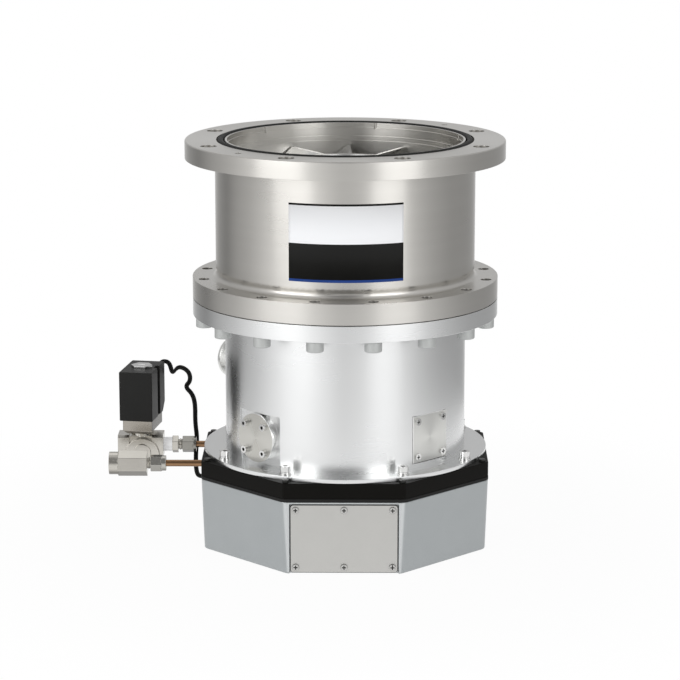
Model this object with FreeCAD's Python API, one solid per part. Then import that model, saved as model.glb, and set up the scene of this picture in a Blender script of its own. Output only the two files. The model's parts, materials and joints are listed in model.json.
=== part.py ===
import FreeCAD, Part
import math
import os
from FreeCAD import Vector

# A turbomolecular pump with a magnetically carried rotor and its drive unit in the base.
# Millimetres. The origin is on the rotor's axis at the underside of the base, +Z points out of
# the inlet, and -Y is the front. A bearing is an angle about Z, counted from the front to the right.

# Running fits and seats
seat_gap = 0.05
piece_gap = 0.3

# Drive housing, the octagonal base
octagon_half = 134.6
octagon_sides = 8
base_height = 68.0
base_draft = 2.3
base_wall = 8.6
base_corner = 9.0
base_lower_edge = 1.8
base_roof = 5.0
ledge_wide = 6.0
ledge_high = 5.0
cover_rim = 5.45
cover_thick = 3.0
cover_screw_radius = 1.5
cover_screw_head = 2.8
cover_screw_head_high = 1.3
cover_screw_sunk = 0.2
cover_screw_inset = 16.6

# Front panel
panel_side_gap = 6.6
panel_low = 1.35
panel_top_gap = 2.6
panel_thick = 3.0
panel_corner = 3.0
panel_gap = 0.6
panel_inset = 0.4
panel_screw_inset = 4.85
panel_screw_rise = 5.0
panel_screw_radius = 1.5
panel_screw_head = 3.1
panel_screw_head_high = 1.2
window_margin = 12.0
cross_recess_long = 1.9
cross_recess_wide = 0.5
cross_recess_deep = 0.8

# Gasket and cooling plate
gasket_thick = 3.0
gasket_lip = 0.3
gasket_width = 14.3
plate_thick = 14.5
plate_corner = 3.0
wire_hole = 14.0
corner_screw_inset = 6.4
corner_screw_radius = 1.5
corner_screw_head = 3.0
corner_screw_head_high = 2.4
corner_screw_length = 34.0

# Rotor and stator stages, from the inlet down: blades, height, pitch in degrees, hub radius
rotor_tip = 106.2
rotor_stages = ((12, 24.0, 38.0, 50.0), (18, 15.0, 34.0, 54.0), (22, 13.0, 30.0, 58.0),
                (26, 11.0, 26.0, 62.0), (30, 10.0, 22.0, 66.0))
stator_stages = ((18, 12.0, 36.0), (22, 11.0, 32.0), (26, 10.0, 28.0), (30, 9.0, 24.0))
stage_gap = 1.5
stack_drop = 1.6
drag_seat_step = 2.2
chamber_step = 3.5
drag_room = 7.0
first_blade_bearing = 178.8
blade_thick = 2.4
blade_root_twist = 10.0
stator_blade_thick = 1.6
stator_rim_wide = 4.3
stator_hub_width = 3.0
stator_hub_gap = 1.6
halves_gap = 0.3
top_spacer = 3.1
bell_wall_top = 8.0
bell_dish = 8.3
bell_bore = 47.0
drag_web_high = 7.0
skirt_thick = 4.5
skirt_rise = 3.0
drag_stator_gap = 0.6
drag_groove_count = 8
drag_groove_depth = 3.4
drag_groove_width = 24.0
drag_groove_pitch = 420.0

# Pump housing
foot_edge = 20.85
foot_thick = 3.9
housing_wall = 9.65
housing_height = 148.9
housing_flange_thick = 16.4
housing_floor = 11.5
drag_seat_rise = 79.5
foot_bolt_inset = 7.0
foot_bolt_radius = 3.0
foot_bolt_head = 4.8
foot_bolt_head_high = 5.4
foot_bolt_depth = 10.0
foot_bolt_bearing = 25.0
foot_bolt_bearing_wide = 61.5
foot_washer_radius = 5.75
foot_washer_thick = 1.2
foot_spring_washer = 1.5

# Joint between housing and casing
casing_bolt_count = 16
casing_bolt_inset = 9.5
casing_bolt_radius = 5.0
casing_bolt_head = 8.0
casing_bolt_head_high = 10.0
casing_bolt_length = 33.0
joint_edge = 31.6
joint_groove_inset = 5.8
joint_groove_width = 5.0
joint_groove_depth = 3.4
joint_relief_deep = 3.0
joint_relief_high = 0.9

# Inlet casing
casing_height = 148.2
casing_flange_thick = 19.4
casing_wall = 9.7
casing_neck_inset = 3.5
casing_neck_high = 8.0
casing_foot_fillet = 4.5
casing_neck_fillet = 9.0
inlet_flange_thick = 17.0
inlet_flange_edge = 15.0
inlet_edge = 0.8
inlet_hole_inset = 14.5
inlet_hole_count = 8
inlet_hole_radius = 7.5
jack_hole_radius = 3.0
jack_hole_depth = 12.0
inlet_groove_lip = 2.0
inlet_groove_width = 8.0
inlet_groove_depth = 4.6
inlet_ring_radius = 2.9
throat_gaps = (4.3, 3.4, 2.4, 1.5)
throat_steps = (4.2, 12.5, 16.8)
notch_count = 6
notch_bearing = 45.0
notch_radius = 1.2
notch_depth = 6.0

# Shaft and what carries it
shaft_radius = 14.0
shaft_rise = 9.0
shaft_flange_radius = 26.0
shaft_flange_thick = 6.0
shaft_nose_high = 3.0
rotor_bolt_count = 6
rotor_bolt_circle = 20.0
rotor_bolt_radius = 3.0
rotor_bolt_head = 5.0
rotor_bolt_head_high = 6.0
rotor_bolt_depth = 5.0
column_outer = 43.5
column_inner = 36.0
column_foot_radius = 62.0
column_foot_thick = 8.0
column_top_gap = 5.0
column_neck_inner = 26.0
column_screw_count = 6
column_screw_circle = 53.0
column_screw_radius = 2.5
column_screw_head = 4.25
column_screw_head_high = 5.0
column_screw_depth = 8.0
thrust_radius = 30.0
thrust_rise = 12.0
thrust_thick = 6.0
axial_gap = 0.5
axial_magnet_thick = 9.0
axial_magnet_inner = 17.0
backup_gap = 0.1
backup_race_outer = 26.0
backup_thick = 9.0
backup_spacing = 2.5
backup_ball_count = 7
backup_track_deep = 1.0
bearing_spacing = 5.0
coil_spacing = 10.0
radial_gap = 0.5
radial_high = 28.0
radial_pole_count = 8
motor_high = 54.0
motor_sleeve = 1.6
motor_slot_count = 12
slot_width = 5.0
slot_depth = 9.0
plug_radius = 12.0
plug_flange_radius = 18.0
plug_flange_thick = 3.0
plug_drop = 2.0

# Pads milled on the housing
pad_cut = 4.65
side_pad_half = 22.5
side_pad_rise = 4.1
side_pad_long = 45.0
side_cover_half = 21.0
side_cover_thick = 3.0
side_cover_screw_x = 16.5
side_cover_screw_z = 16.75
purge_pad_half = 26.4
purge_pad_rise = 48.6
purge_cover_rise = 25.6
purge_cover_radius = 23.0
purge_cover_thick = 7.5
purge_spigot_long = 4.0
purge_screw_half = 12.5
pad_screw_radius = 2.0
pad_screw_head = 3.5
pad_screw_head_high = 4.0
pad_screw_depth = 3.0
side_screw_head_high = 1.6
exhaust_rise = 59.1
exhaust_reach = 36.0
exhaust_bore = 13.0
exhaust_pipe_radius = 15.5
exhaust_flange_radius = 20.0
exhaust_flange_rim = 3.0
exhaust_flange_back = 6.0
exhaust_plate_half = 24.0
exhaust_plate_thick = 6.0
exhaust_recess_radius = 14.6
exhaust_recess_depth = 2.0
exhaust_screw_half = 18.5
purge_bore = 6.0

# Cooling tube and its fittings; each length runs on from the one above, away from the drive housing's flank
tube_radius = 3.175
tube_bore = 2.375
tube_rise = 5.5
tube_out_y = -29.4
tube_in_y = 42.3
tube_bend_x = 45.0
tube_seat_deep = 4.0
out_bare_long = 34.8
out_nose_long = 4.1
out_nut_long = 10.5
out_neck_long = 3.2
coupling_hex_long = 27.4
coupling_round_long = 8.7
coupling_round_radius = 10.8
coupling_across = 21.5
coupling_turn = 24.0
port_radius = 5.7
coupling_port_depth = 13.0
neck_radius = 4.9
neck_ring_radius = 5.6
neck_thread_radius = 4.3
neck_thread_long = 5.0
nut_across = 14.3
nut_turn = 30.0
nose_radius = 7.3
in_bare_long = 10.5
in_nose_long = 2.4
in_nut_long = 11.0
in_neck_long = 4.0
connector_hex_long = 5.8
connector_across = 14.8
connector_thread_radius = 6.3
connector_thread_long = 9.0
tape_long = 8.5
tape_thick = 0.5

# Water valve
valve_long = 44.0
valve_half_depth = 12.0
valve_below = 11.0
valve_above = 11.5
valve_port_long = 11.0
valve_port_depth = 11.0
valve_port_chamfer = 2.2
valve_waist = 1.5
boss_drop = 8.3
boss_radius = 17.0
boss_out = 15.0
boss_ring_radius = 8.8
boss_ring_out = 17.0
boss_ring_drop = 5.4
bonnet_width = 29.0
bonnet_depth = 42.0
bonnet_gap = 3.0
bonnet_thick = 14.5
bonnet_bevel = 3.5
bonnet_collar = 11.0
seat_radius = 2.5
seat_wall = 1.5
seat_rise = 2.5
valve_chamber_radius = 8.5
way_radius = 2.6
way_drop = 2.5
way_rise = 1.7

# Coil, plunger and spring
coil_inset = 23.5
coil_width = 32.4
coil_depth = 53.7
coil_high = 48.2
coil_turn = -9.11
coil_slot_from = -2.5
coil_slot_to = 6.5
coil_slot_deep = 4.0
coil_rear_cut = 9.0
coil_edge = 1.0
guide_radius = 6.9
guide_bore = 6.2
guide_flange = 3.0
guide_drop = 3.7
guide_stud_radius = 4.0
stud_drop = 1.4
coil_nut_across = 18.2
coil_nut_high = 2.2
coil_nut_slot_half = 3.2
coil_nut_slot_wide = 1.6
coil_nut_slot_deep = 1.0
plunger_radius = 6.15
plunger_seal_radius = 4.0
plunger_seal_thick = 2.0
plunger_seal_stem = 1.4
plunger_stroke = 2.5
plunger_pocket_radius = 4.6
plunger_pocket_depth = 14.0
spring_radius = 3.6
spring_wire = 0.5
spring_turns = 5
core_rise = 21.5
core_gap = 0.5

# Lead from the coil to the drive housing. The points were chosen by hand along the pictured route and
# are counted from the upper edge of the drive housing's left flank.
lead_radius = 2.3
lead_route = ((-46.9, 87.8, 83.3), (-39.7, 90.3, 82.1), (-36.3, 84.5, 68.8), (-30.9, 79.5, 79.2),
              (-23.9, 75.0, 79.4), (-17.1, 71.0, 73.6), (-16.1, 67.8, 65.6), (-22.6, 64.3, 60.6),
              (-14.9, 61.0, 54.0), (-12.3, 58.3, 43.7), (-12.6, 57.5, 26.7), (-10.8, 57.5, 10.9),
              (-11.8, 54.0, -0.3), (-11.5, 44.0, -8.9), (-11.0, 33.0, -14.3), (-11.0, 23.5, -17.1))
lead_start_run = 6.8
lead_end_run = 6.2
fold_factor = 0.45
gland_radius = 4.2
gland_length = 6.0
gland_x = 9.0
gland_drop = 7.2
grommet_radius = 4.6
grommet_flange = 6.2
grommet_flange_thick = 2.0
grommet_wall = 1.2
grommet_y = 18.0
grommet_drop = 17.4
grommet_nose = 2.8
grommet_seat = 1.0

# Electronics in the base
board_thick = 1.6
board_low = 18.0
board_rise = 24.0
board_inset_x = 46.6
board_inset_y = 64.6
post_radius = 3.0
post_inset = 8.0
capacitor_radius = 11.0
capacitor_high = 16.0
capacitor_count = 3
power_half = 17.0
power_high = 26.0
power_x = -28.0
signal_half = 27.0
signal_high = 13.0
signal_x = 24.0
connector_height = 38.0
connector_flange = 2.0
connector_out = 3.0
connector_in = 12.0
connector_wall_x = 4.0
connector_wall_z = 3.0

# Heights that follow from the sizes above
gasket_low = base_height
plate_low = gasket_low + gasket_thick
foot_low = plate_low + plate_thick
pad_base = foot_low + foot_thick
floor_top = foot_low + housing_floor
drag_seat_height = foot_low + drag_seat_rise
joint_height = foot_low + housing_height
housing_flange_low = joint_height - housing_flange_thick
casing_flange_top = joint_height + casing_flange_thick
inlet_top = joint_height + casing_height
inlet_flange_low = inlet_top - inlet_flange_thick
panel_high = base_height - panel_top_gap

# The bladed stack stands on the housing's seat
stack_high = (sum(stage[1] for stage in rotor_stages + stator_stages)
              + 2 * stage_gap * len(stator_stages))
stack_low = joint_height - stack_drop
rotor_top = stack_low + stage_gap + stack_high
throat_low = rotor_top - rotor_stages[0][1] - stage_gap + top_spacer
bell_top = rotor_top - bell_dish
bell_seat = bell_top - bell_wall_top
skirt_low = drag_seat_height + skirt_rise

# Bearings and motor along the shaft, from the floor up
shaft_low = floor_top + shaft_rise
thrust_low = shaft_low + thrust_rise
lower_backup_low = thrust_low + thrust_thick + axial_gap + axial_magnet_thick + backup_spacing
lower_radial_low = lower_backup_low + backup_thick + bearing_spacing
motor_low = lower_radial_low + radial_high + coil_spacing
upper_radial_low = motor_low + motor_high + coil_spacing
column_neck_low = upper_radial_low + radial_high + coil_spacing
upper_backup_low = column_neck_low + coil_spacing
column_top = bell_seat - shaft_flange_thick - column_top_gap
plug_low = base_height - plug_drop

# Radii and circles that follow from the rotor's tips
stator_rim_inner = rotor_tip + throat_gaps[-1]
stator_rim_outer = stator_rim_inner + stator_rim_wide
casing_bore = stator_rim_outer + 4 * seat_gap
throat_radii = [rotor_tip + gap for gap in throat_gaps]
casing_radius = casing_bore + casing_wall
casing_neck_radius = casing_radius - casing_neck_inset
joint_flange_radius = casing_bore + joint_edge
casing_bolt_circle = joint_flange_radius - casing_bolt_inset
joint_groove_radius = casing_bore + joint_groove_inset
inlet_groove_inner = throat_radii[0] + inlet_groove_lip
inlet_groove_outer = inlet_groove_inner + inlet_groove_width
inlet_hole_circle = inlet_groove_outer + inlet_hole_inset
inlet_flange_radius = inlet_hole_circle + inlet_flange_edge
drag_bore = rotor_tip - drag_seat_step
chamber_radius = drag_bore - chamber_step
skirt_outer = drag_bore - drag_room
skirt_inner = skirt_outer - skirt_thick
housing_radius = drag_bore + housing_wall
foot_radius = housing_radius + foot_edge
foot_bolt_circle = foot_radius - foot_bolt_inset

# Places on the base and the pads
sector = 360.0 / octagon_sides
panel_half_width = octagon_half * math.tan(math.radians(sector / 2)) - panel_side_gap
corner_screw_circle = octagon_half / math.cos(math.radians(sector / 2)) - corner_screw_inset
cover_screw_circle = octagon_half - cover_screw_inset
board_half_x = octagon_half - board_inset_x
board_half_y = octagon_half - board_inset_y
pad_floor = housing_radius - pad_cut
side_pad_low = pad_base + side_pad_rise
side_pad_high = side_pad_low + side_pad_long
side_cover_middle = (side_pad_low + side_pad_high) / 2
purge_pad_high = pad_base + purge_pad_rise
purge_cover_height = pad_base + purge_cover_rise
exhaust_height = pad_base + exhaust_rise
exhaust_face = pad_floor + exhaust_reach

# Fittings, from the drive housing's left flank outwards
left_flank = -octagon_half
grommet_face = left_flank + grommet_seat
out_nose_end = left_flank - out_bare_long
out_nut_end = out_nose_end - out_nose_long
coupling_neck_end = out_nut_end - out_nut_long
coupling_hex_end = coupling_neck_end - out_neck_long
coupling_round_end = coupling_hex_end - coupling_hex_long
coupling_start = coupling_round_end - coupling_round_long
in_nose_end = left_flank - in_bare_long
in_nut_end = in_nose_end - in_nose_long
connector_neck_end = in_nut_end - in_nut_long
connector_hex_end = connector_neck_end - in_neck_long
tape_end = connector_hex_end - connector_hex_long
valve_port_end = tape_end - tape_long
valve_port_start = valve_port_end - valve_long
coil_x = valve_port_start + coil_inset

# Heights on the valve
tube_height = plate_low + tube_rise
valve_low = tube_height - valve_below
valve_high = tube_height + valve_above
bonnet_low = valve_high + bonnet_gap
bonnet_high = bonnet_low + bonnet_thick
seat_height = tube_height + seat_rise
coil_top = bonnet_high + coil_high
guide_top = coil_top - guide_drop
core_low = bonnet_high + core_rise
plunger_top = core_low - plunger_stroke - core_gap
gland_height = coil_top - gland_drop
grommet_height = base_height - grommet_drop


# Shared shapes

def disc(radius, low, high, x=0.0, y=0.0):
    return Part.makeCylinder(radius, high - low, Vector(x, y, low))


def ring(outer, inner, low, high, x=0.0, y=0.0):
    return disc(outer, low, high, x, y).cut(disc(inner, low - 1, high + 1, x, y))


def block(x0, x1, y0, y1, z0, z1):
    return Part.makeBox(x1 - x0, y1 - y0, z1 - z0, Vector(x0, y0, z0))


def rod(radius, start, end):
    return Part.makeCylinder(radius, (end - start).Length, start, end - start)


def turned(profile):
    wire = Part.makePolygon([Vector(r, 0, z) for r, z in profile + profile[:1]])
    return Part.Face(wire).revolve(Vector(0, 0, 0), Vector(0, 0, 1), 360)


def prism(points, reach):
    return Part.Face(Part.makePolygon(points + points[:1])).extrude(reach)


def regular(sides, radius, low, high, first=0.0):
    turns = [math.radians(first + 360.0 * k / sides) for k in range(sides)]
    points = [Vector(radius * math.cos(a), radius * math.sin(a), low) for a in turns]
    return prism(points, Vector(0, 0, high - low))


def octagon(half, low, high, corner=0.0):
    reach = half / math.cos(math.radians(sector / 2))
    body = regular(octagon_sides, reach, low, high, sector / 2)
    if corner > 0:
        upright = [e for e in body.Edges if abs(e.tangentAt(e.FirstParameter).z) > 0.9]
        body = body.makeFillet(corner, upright)
    return body


def hexagon(across, x0, x1, y, z, first=0.0):
    reach = across / 2 / math.cos(math.radians(30))
    turns = [math.radians(first + 60 * k) for k in range(6)]
    points = [Vector(x0, y + reach * math.cos(a), z + reach * math.sin(a)) for a in turns]
    return prism(points, Vector(x1 - x0, 0, 0))


def polygon_ring(circle, radius, height, sides=12):
    turns = [2 * math.pi * k / sides for k in range(sides)]
    return turned([(circle + radius * math.cos(a), height + radius * math.sin(a)) for a in turns])


def circle_edges(shape, radius, height):
    return [e for e in shape.Edges if abs(e.BoundBox.ZMax - height) < 0.01
            and abs(e.BoundBox.ZMin - height) < 0.01 and abs(e.BoundBox.XMax - radius) < 0.01]


def at_bearing(shape, bearing):
    copy = shape.copy()
    copy.rotate(Vector(0, 0, 0), Vector(0, 0, 1), bearing)
    return copy


def around(shape, count, first=0.0):
    return [at_bearing(shape, first + 360.0 * k / count) for k in range(count)]


def in_front(radius, z):
    return Vector(0, -radius, z)


def screw(place, way, shank, length, head, head_high):
    shank_part = rod(shank, place - way * length, place + way * (head_high / 2))
    return rod(head, place, place + way * head_high).fuse(shank_part).removeSplitter()


def socket_screw(place, way, shank, length, head, head_high):
    tip = place + way * head_high
    reach = head * 0.5
    side = way.cross(Vector(1, 0.3, 0.2)).normalize()
    other = way.cross(side)
    points = [tip + side * (reach * math.cos(math.radians(60 * k)))
              + other * (reach * math.sin(math.radians(60 * k))) for k in range(6)]
    socket = prism(points, way * (-head_high * 0.55))
    return screw(place, way, shank, length, head, head_high).cut(socket)


def cross_screw(place, shank, length, head, head_high):
    face = place.y - head_high
    sizes = ((cross_recess_long, cross_recess_wide), (cross_recess_wide, cross_recess_long))
    recess = [block(place.x - wide, place.x + wide, face - 1, face + cross_recess_deep,
                    place.z - high, place.z + high) for wide, high in sizes]
    return screw(place, Vector(0, -1, 0), shank, length, head, head_high).cut(recess)


def save(name, shapes):
    group = shapes if isinstance(shapes, list) else [shapes]
    solids = [solid for shape in group for solid in shape.Solids]
    shape = solids[0] if len(solids) == 1 else Part.makeCompound(solids)
    shape.exportStep("parts/" + name + ".step")


# Drive housing

def drafted_octagon():
    body = octagon(octagon_half, 0, base_height)
    lean = base_draft / base_height
    corners = [(0, base_height), (lean * (base_height + 1), -1), (-1, -1), (-1, base_height)]
    wedge = prism([Vector(-octagon_half, out - octagon_half, z) for out, z in corners],
                  Vector(2 * octagon_half, 0, 0))
    leaning = [side for side in range(octagon_sides) if side % (octagon_sides // 2)]
    body = body.cut([at_bearing(wedge, sector * side) for side in leaning])
    upright = [e for e in body.Edges if abs(e.tangentAt(e.FirstParameter).z) > 0.9]
    body = body.makeFillet(base_corner, upright)
    return body.makeFillet(base_lower_edge, [e for e in body.Edges if e.BoundBox.ZMax < seat_gap])


def controller_housing():
    body = drafted_octagon()
    inner = octagon(octagon_half - base_wall, cover_thick + ledge_high, base_height - base_roof)
    seat = octagon(octagon_half - cover_rim, -1, cover_thick)
    ledge = octagon(octagon_half - base_wall - ledge_wide, cover_thick - 1, cover_thick + ledge_high + 1)
    body = body.cut([inner, seat, ledge, disc(wire_hole, base_height - base_roof - 1, base_height + 1)])
    recess = block(-panel_half_width - panel_gap, panel_half_width + panel_gap,
                   -octagon_half - 1, -octagon_half + panel_inset + panel_thick,
                   -1, panel_high + panel_gap)
    window = block(-panel_half_width + window_margin, panel_half_width - window_margin,
                   -octagon_half - 1, -octagon_half + base_wall + 1,
                   panel_low + window_margin, panel_high - window_margin)
    holes = [rod(panel_screw_radius + seat_gap, place, place + Vector(0, base_wall + 1, 0))
             for place in panel_screw_places()]
    holes += around(rod(corner_screw_radius + seat_gap, in_front(corner_screw_circle, base_height + 1),
                        in_front(corner_screw_circle, foot_low - corner_screw_length)),
                    octagon_sides, sector / 2)
    holes += around(rod(cover_screw_radius + seat_gap, in_front(cover_screw_circle, 0),
                        in_front(cover_screw_circle, cover_thick + ledge_high + 1)), octagon_sides)
    outside = Vector(left_flank - 1, grommet_y, grommet_height)
    holes.append(rod(grommet_radius + seat_gap, outside, outside + Vector(base_wall + 2, 0, 0)))
    holes.append(rod(grommet_flange + piece_gap, outside, outside + Vector(grommet_seat + 1, 0, 0)))
    for half, high, x in ((power_half, power_high, power_x), (signal_half, signal_high, signal_x)):
        holes.append(block(x - half, x + half, octagon_half - base_wall - 1, octagon_half + 1,
                           connector_height - high / 2, connector_height + high / 2))
    return body.cut([recess, window] + holes)


def panel_screw_places():
    face = -octagon_half + panel_inset
    across = panel_half_width - panel_screw_inset
    return [Vector(x, face, z) for x in (-across, 0, across)
            for z in (panel_low + panel_screw_rise, panel_high - panel_screw_rise)]


def front_panel():
    face = -octagon_half + panel_inset
    plate = block(-panel_half_width, panel_half_width, face, face + panel_thick, panel_low, panel_high)
    along = [e for e in plate.Edges if abs(e.tangentAt(e.FirstParameter).y) > 0.9]
    plate = plate.makeFillet(panel_corner, along)
    through = Vector(0, panel_thick + 1, 0)
    return plate.cut([rod(panel_screw_radius + seat_gap, place - through, place + through)
                      for place in panel_screw_places()])


def front_panel_screws():
    return [cross_screw(place, panel_screw_radius, base_wall - 1, panel_screw_head, panel_screw_head_high)
            for place in panel_screw_places()]


def bottom_cover():
    plate = octagon(octagon_half - cover_rim - piece_gap, 0, cover_thick)
    mouth = rod(cover_screw_head + seat_gap, in_front(cover_screw_circle, -1),
                in_front(cover_screw_circle, cover_screw_sunk))
    cone = Part.makeCone(cover_screw_head + seat_gap, cover_screw_radius + seat_gap, cover_screw_head_high,
                         in_front(cover_screw_circle, cover_screw_sunk))
    hole = rod(cover_screw_radius + seat_gap, in_front(cover_screw_circle, -1),
               in_front(cover_screw_circle, cover_thick + 1))
    return plate.cut([at for shape in (mouth, cone, hole) for at in around(shape, octagon_sides)])


def bottom_cover_screws():
    head = Part.makeCone(cover_screw_head, cover_screw_radius, cover_screw_head_high,
                         in_front(cover_screw_circle, cover_screw_sunk))
    middle = cover_screw_sunk + cover_screw_head_high / 2
    shank = rod(cover_screw_radius, in_front(cover_screw_circle, middle),
                in_front(cover_screw_circle, cover_thick + ledge_high))
    return around(head.fuse(shank), octagon_sides)


def base_gasket():
    outer = octagon(octagon_half + gasket_lip, gasket_low, gasket_low + gasket_thick, base_corner)
    inner = octagon(octagon_half - gasket_width, gasket_low - 1, gasket_low + gasket_thick + 1)
    holes = around(rod(corner_screw_radius + seat_gap, in_front(corner_screw_circle, gasket_low - 1),
                       in_front(corner_screw_circle, plate_low + 1)), octagon_sides, sector / 2)
    return outer.cut([inner] + holes)


# Cooling plate

def beside_bend(margin, low, high):
    middle = (tube_out_y + tube_in_y) / 2
    reach = (tube_in_y - tube_out_y) / 2 + margin
    return block(tube_bend_x, tube_bend_x + reach, middle - reach, middle + reach, low, high)


def tube_channel():
    half = tube_radius + seat_gap
    below, top = plate_low - 1, tube_height + half
    middle = (tube_out_y + tube_in_y) / 2
    reach = (tube_in_y - tube_out_y) / 2
    legs = [block(left_flank - 2, tube_bend_x, y - half, y + half, below, top)
            for y in (tube_out_y, tube_in_y)]
    bend = ring(reach + half, reach - half, below, top, tube_bend_x, middle)
    return legs + [bend.common(beside_bend(2 * half, below, top))]


def cooling_plate():
    body = octagon(octagon_half, plate_low, foot_low, plate_corner)
    holes = [disc(wire_hole, plate_low - 1, foot_low + 1)]
    holes += around(rod(corner_screw_radius + seat_gap, in_front(corner_screw_circle, plate_low - 1),
                        in_front(corner_screw_circle, foot_low + 1)), octagon_sides, sector / 2)
    depth = foot_bolt_depth + seat_gap
    holes += foot_places(rod(foot_bolt_radius + seat_gap, in_front(foot_bolt_circle, foot_low - depth),
                             in_front(foot_bolt_circle, foot_low + 1)))
    return body.cut(tube_channel() + holes)


def corner_screws():
    place = in_front(corner_screw_circle, foot_low)
    one = screw(place, Vector(0, 0, 1), corner_screw_radius, corner_screw_length - 1,
                corner_screw_head, corner_screw_head_high)
    return around(one, octagon_sides, sector / 2)


def tube_solid(radius):
    middle = (tube_out_y + tube_in_y) / 2
    reach = (tube_in_y - tube_out_y) / 2
    keep = beside_bend(2 * radius, tube_height - 2 * radius, tube_height + 2 * radius)
    bend = Part.makeTorus(reach, radius, Vector(tube_bend_x, middle, tube_height)).common(keep)
    out_leg = level_rod(radius, coupling_neck_end + tube_seat_deep, tube_bend_x, tube_out_y)
    in_leg = level_rod(radius, connector_neck_end + tube_seat_deep, tube_bend_x, tube_in_y)
    return bend.fuse([out_leg, in_leg])


def cooling_tube():
    return tube_solid(tube_radius).cut(tube_solid(tube_bore))


# Pump housing

def foot_places(shape):
    bearings = []
    for bearing in (foot_bolt_bearing, foot_bolt_bearing_wide):
        bearings += [bearing, -bearing, 180 - bearing, bearing - 180]
    return [at_bearing(shape, bearing) for bearing in bearings]


def screw_square(half_x, half_z, face, height):
    return [Vector(x, -face, height + z) for x in (-half_x, half_x) for z in (-half_z, half_z)]


def pad_holes(places, depth):
    return [rod(pad_screw_radius + seat_gap, place - Vector(0, 1, 0), place + Vector(0, depth, 0))
            for place in places]


def pump_housing():
    body = turned([(plug_radius + seat_gap, foot_low), (foot_radius, foot_low), (foot_radius, pad_base),
                   (housing_radius, pad_base), (housing_radius, housing_flange_low),
                   (joint_flange_radius, housing_flange_low),
                   (joint_flange_radius, joint_height - joint_relief_high),
                   (joint_flange_radius - joint_relief_deep, joint_height - joint_relief_high),
                   (joint_flange_radius - joint_relief_deep, joint_height),
                   (stator_rim_outer + piece_gap, joint_height), (stator_rim_outer + piece_gap, stack_low),
                   (drag_bore, stack_low), (drag_bore, drag_seat_height),
                   (chamber_radius, drag_seat_height), (chamber_radius, floor_top),
                   (plug_radius + seat_gap, floor_top)])
    side_pad = block(-side_pad_half, side_pad_half, -housing_radius - 9, -pad_floor,
                     side_pad_low, side_pad_high)
    purge_pad = block(-purge_pad_half, purge_pad_half, -housing_radius - 9, -pad_floor,
                      pad_base, purge_pad_high)
    exhaust_pad = block(-purge_pad_half, purge_pad_half, -housing_radius - 9, -pad_floor,
                        exhaust_height - purge_pad_half, exhaust_height + purge_pad_half)
    exhaust_hole = rod(exhaust_bore, in_front(housing_radius + 9, exhaust_height),
                       in_front(chamber_radius - 9, exhaust_height))
    purge_hole = rod(purge_bore, in_front(housing_radius + 9, purge_cover_height),
                     in_front(chamber_radius - 9, purge_cover_height))
    cuts = [at_bearing(side_pad, 45), at_bearing(purge_pad, -45), at_bearing(exhaust_pad, -135),
            at_bearing(exhaust_hole, -135), at_bearing(purge_hole, -45)]
    side_places = screw_square(side_cover_screw_x, side_cover_screw_z, pad_floor, side_cover_middle)
    purge_places = screw_square(purge_screw_half, purge_screw_half, pad_floor, purge_cover_height)
    exhaust_places = screw_square(exhaust_screw_half, exhaust_screw_half, pad_floor, exhaust_height)
    for places, bearing in ((side_places, 45), (purge_places, -45), (exhaust_places, -135)):
        cuts += [at_bearing(hole, bearing) for hole in pad_holes(places, pad_screw_depth + seat_gap)]
    cuts += foot_places(rod(foot_bolt_radius + seat_gap, in_front(foot_bolt_circle, foot_low - 1),
                            in_front(foot_bolt_circle, pad_base + 1)))
    cuts += around(rod(casing_bolt_radius + seat_gap, in_front(casing_bolt_circle, housing_flange_low - 1),
                       in_front(casing_bolt_circle, joint_height + 1)),
                   casing_bolt_count, 180.0 / casing_bolt_count)
    cuts += around(rod(column_screw_radius + seat_gap,
                       in_front(column_screw_circle, floor_top - column_screw_depth),
                       in_front(column_screw_circle, floor_top + 1)), column_screw_count)
    half = joint_groove_width / 2
    cuts.append(ring(joint_groove_radius + half, joint_groove_radius - half,
                     joint_height - joint_groove_depth, joint_height + 1))
    return body.cut(cuts)


def joint_seal_ring():
    return polygon_ring(joint_groove_radius, (joint_groove_depth - seat_gap) / 2,
                        joint_height - joint_groove_depth / 2)


def housing_bolts():
    base = pad_base + foot_washer_thick + foot_spring_washer
    length = base - foot_low + foot_bolt_depth - seat_gap
    return foot_places(socket_screw(in_front(foot_bolt_circle, base), Vector(0, 0, 1), foot_bolt_radius,
                                    length, foot_bolt_head, foot_bolt_head_high))


def housing_bolt_washers():
    middle = pad_base + foot_washer_thick
    flat = ring(foot_washer_radius, foot_bolt_radius + seat_gap, pad_base, middle, 0, -foot_bolt_circle)
    spring = ring(foot_bolt_head, foot_bolt_radius + seat_gap, middle, middle + foot_spring_washer,
                  0, -foot_bolt_circle)
    return foot_places(flat) + foot_places(spring)


def casing_bolts():
    place = in_front(casing_bolt_circle, housing_flange_low)
    one = socket_screw(place, Vector(0, 0, -1), casing_bolt_radius, casing_bolt_length,
                       casing_bolt_head, casing_bolt_head_high)
    return around(one, casing_bolt_count, 180.0 / casing_bolt_count)


# What closes the pads

def pad_socket_screws(places, plate_thick, bearing):
    return [at_bearing(socket_screw(place, Vector(0, -1, 0), pad_screw_radius, plate_thick + pad_screw_depth,
                                    pad_screw_head, pad_screw_head_high), bearing) for place in places]


def side_cover_plate():
    face = pad_floor + side_cover_thick
    middle = side_cover_middle
    plate = block(-side_cover_half, side_cover_half, -face, -pad_floor,
                  middle - side_cover_half, middle + side_cover_half)
    places = screw_square(side_cover_screw_x, side_cover_screw_z, face, middle)
    return at_bearing(plate.cut(pad_holes(places, side_cover_thick + 1)), 45)


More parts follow.
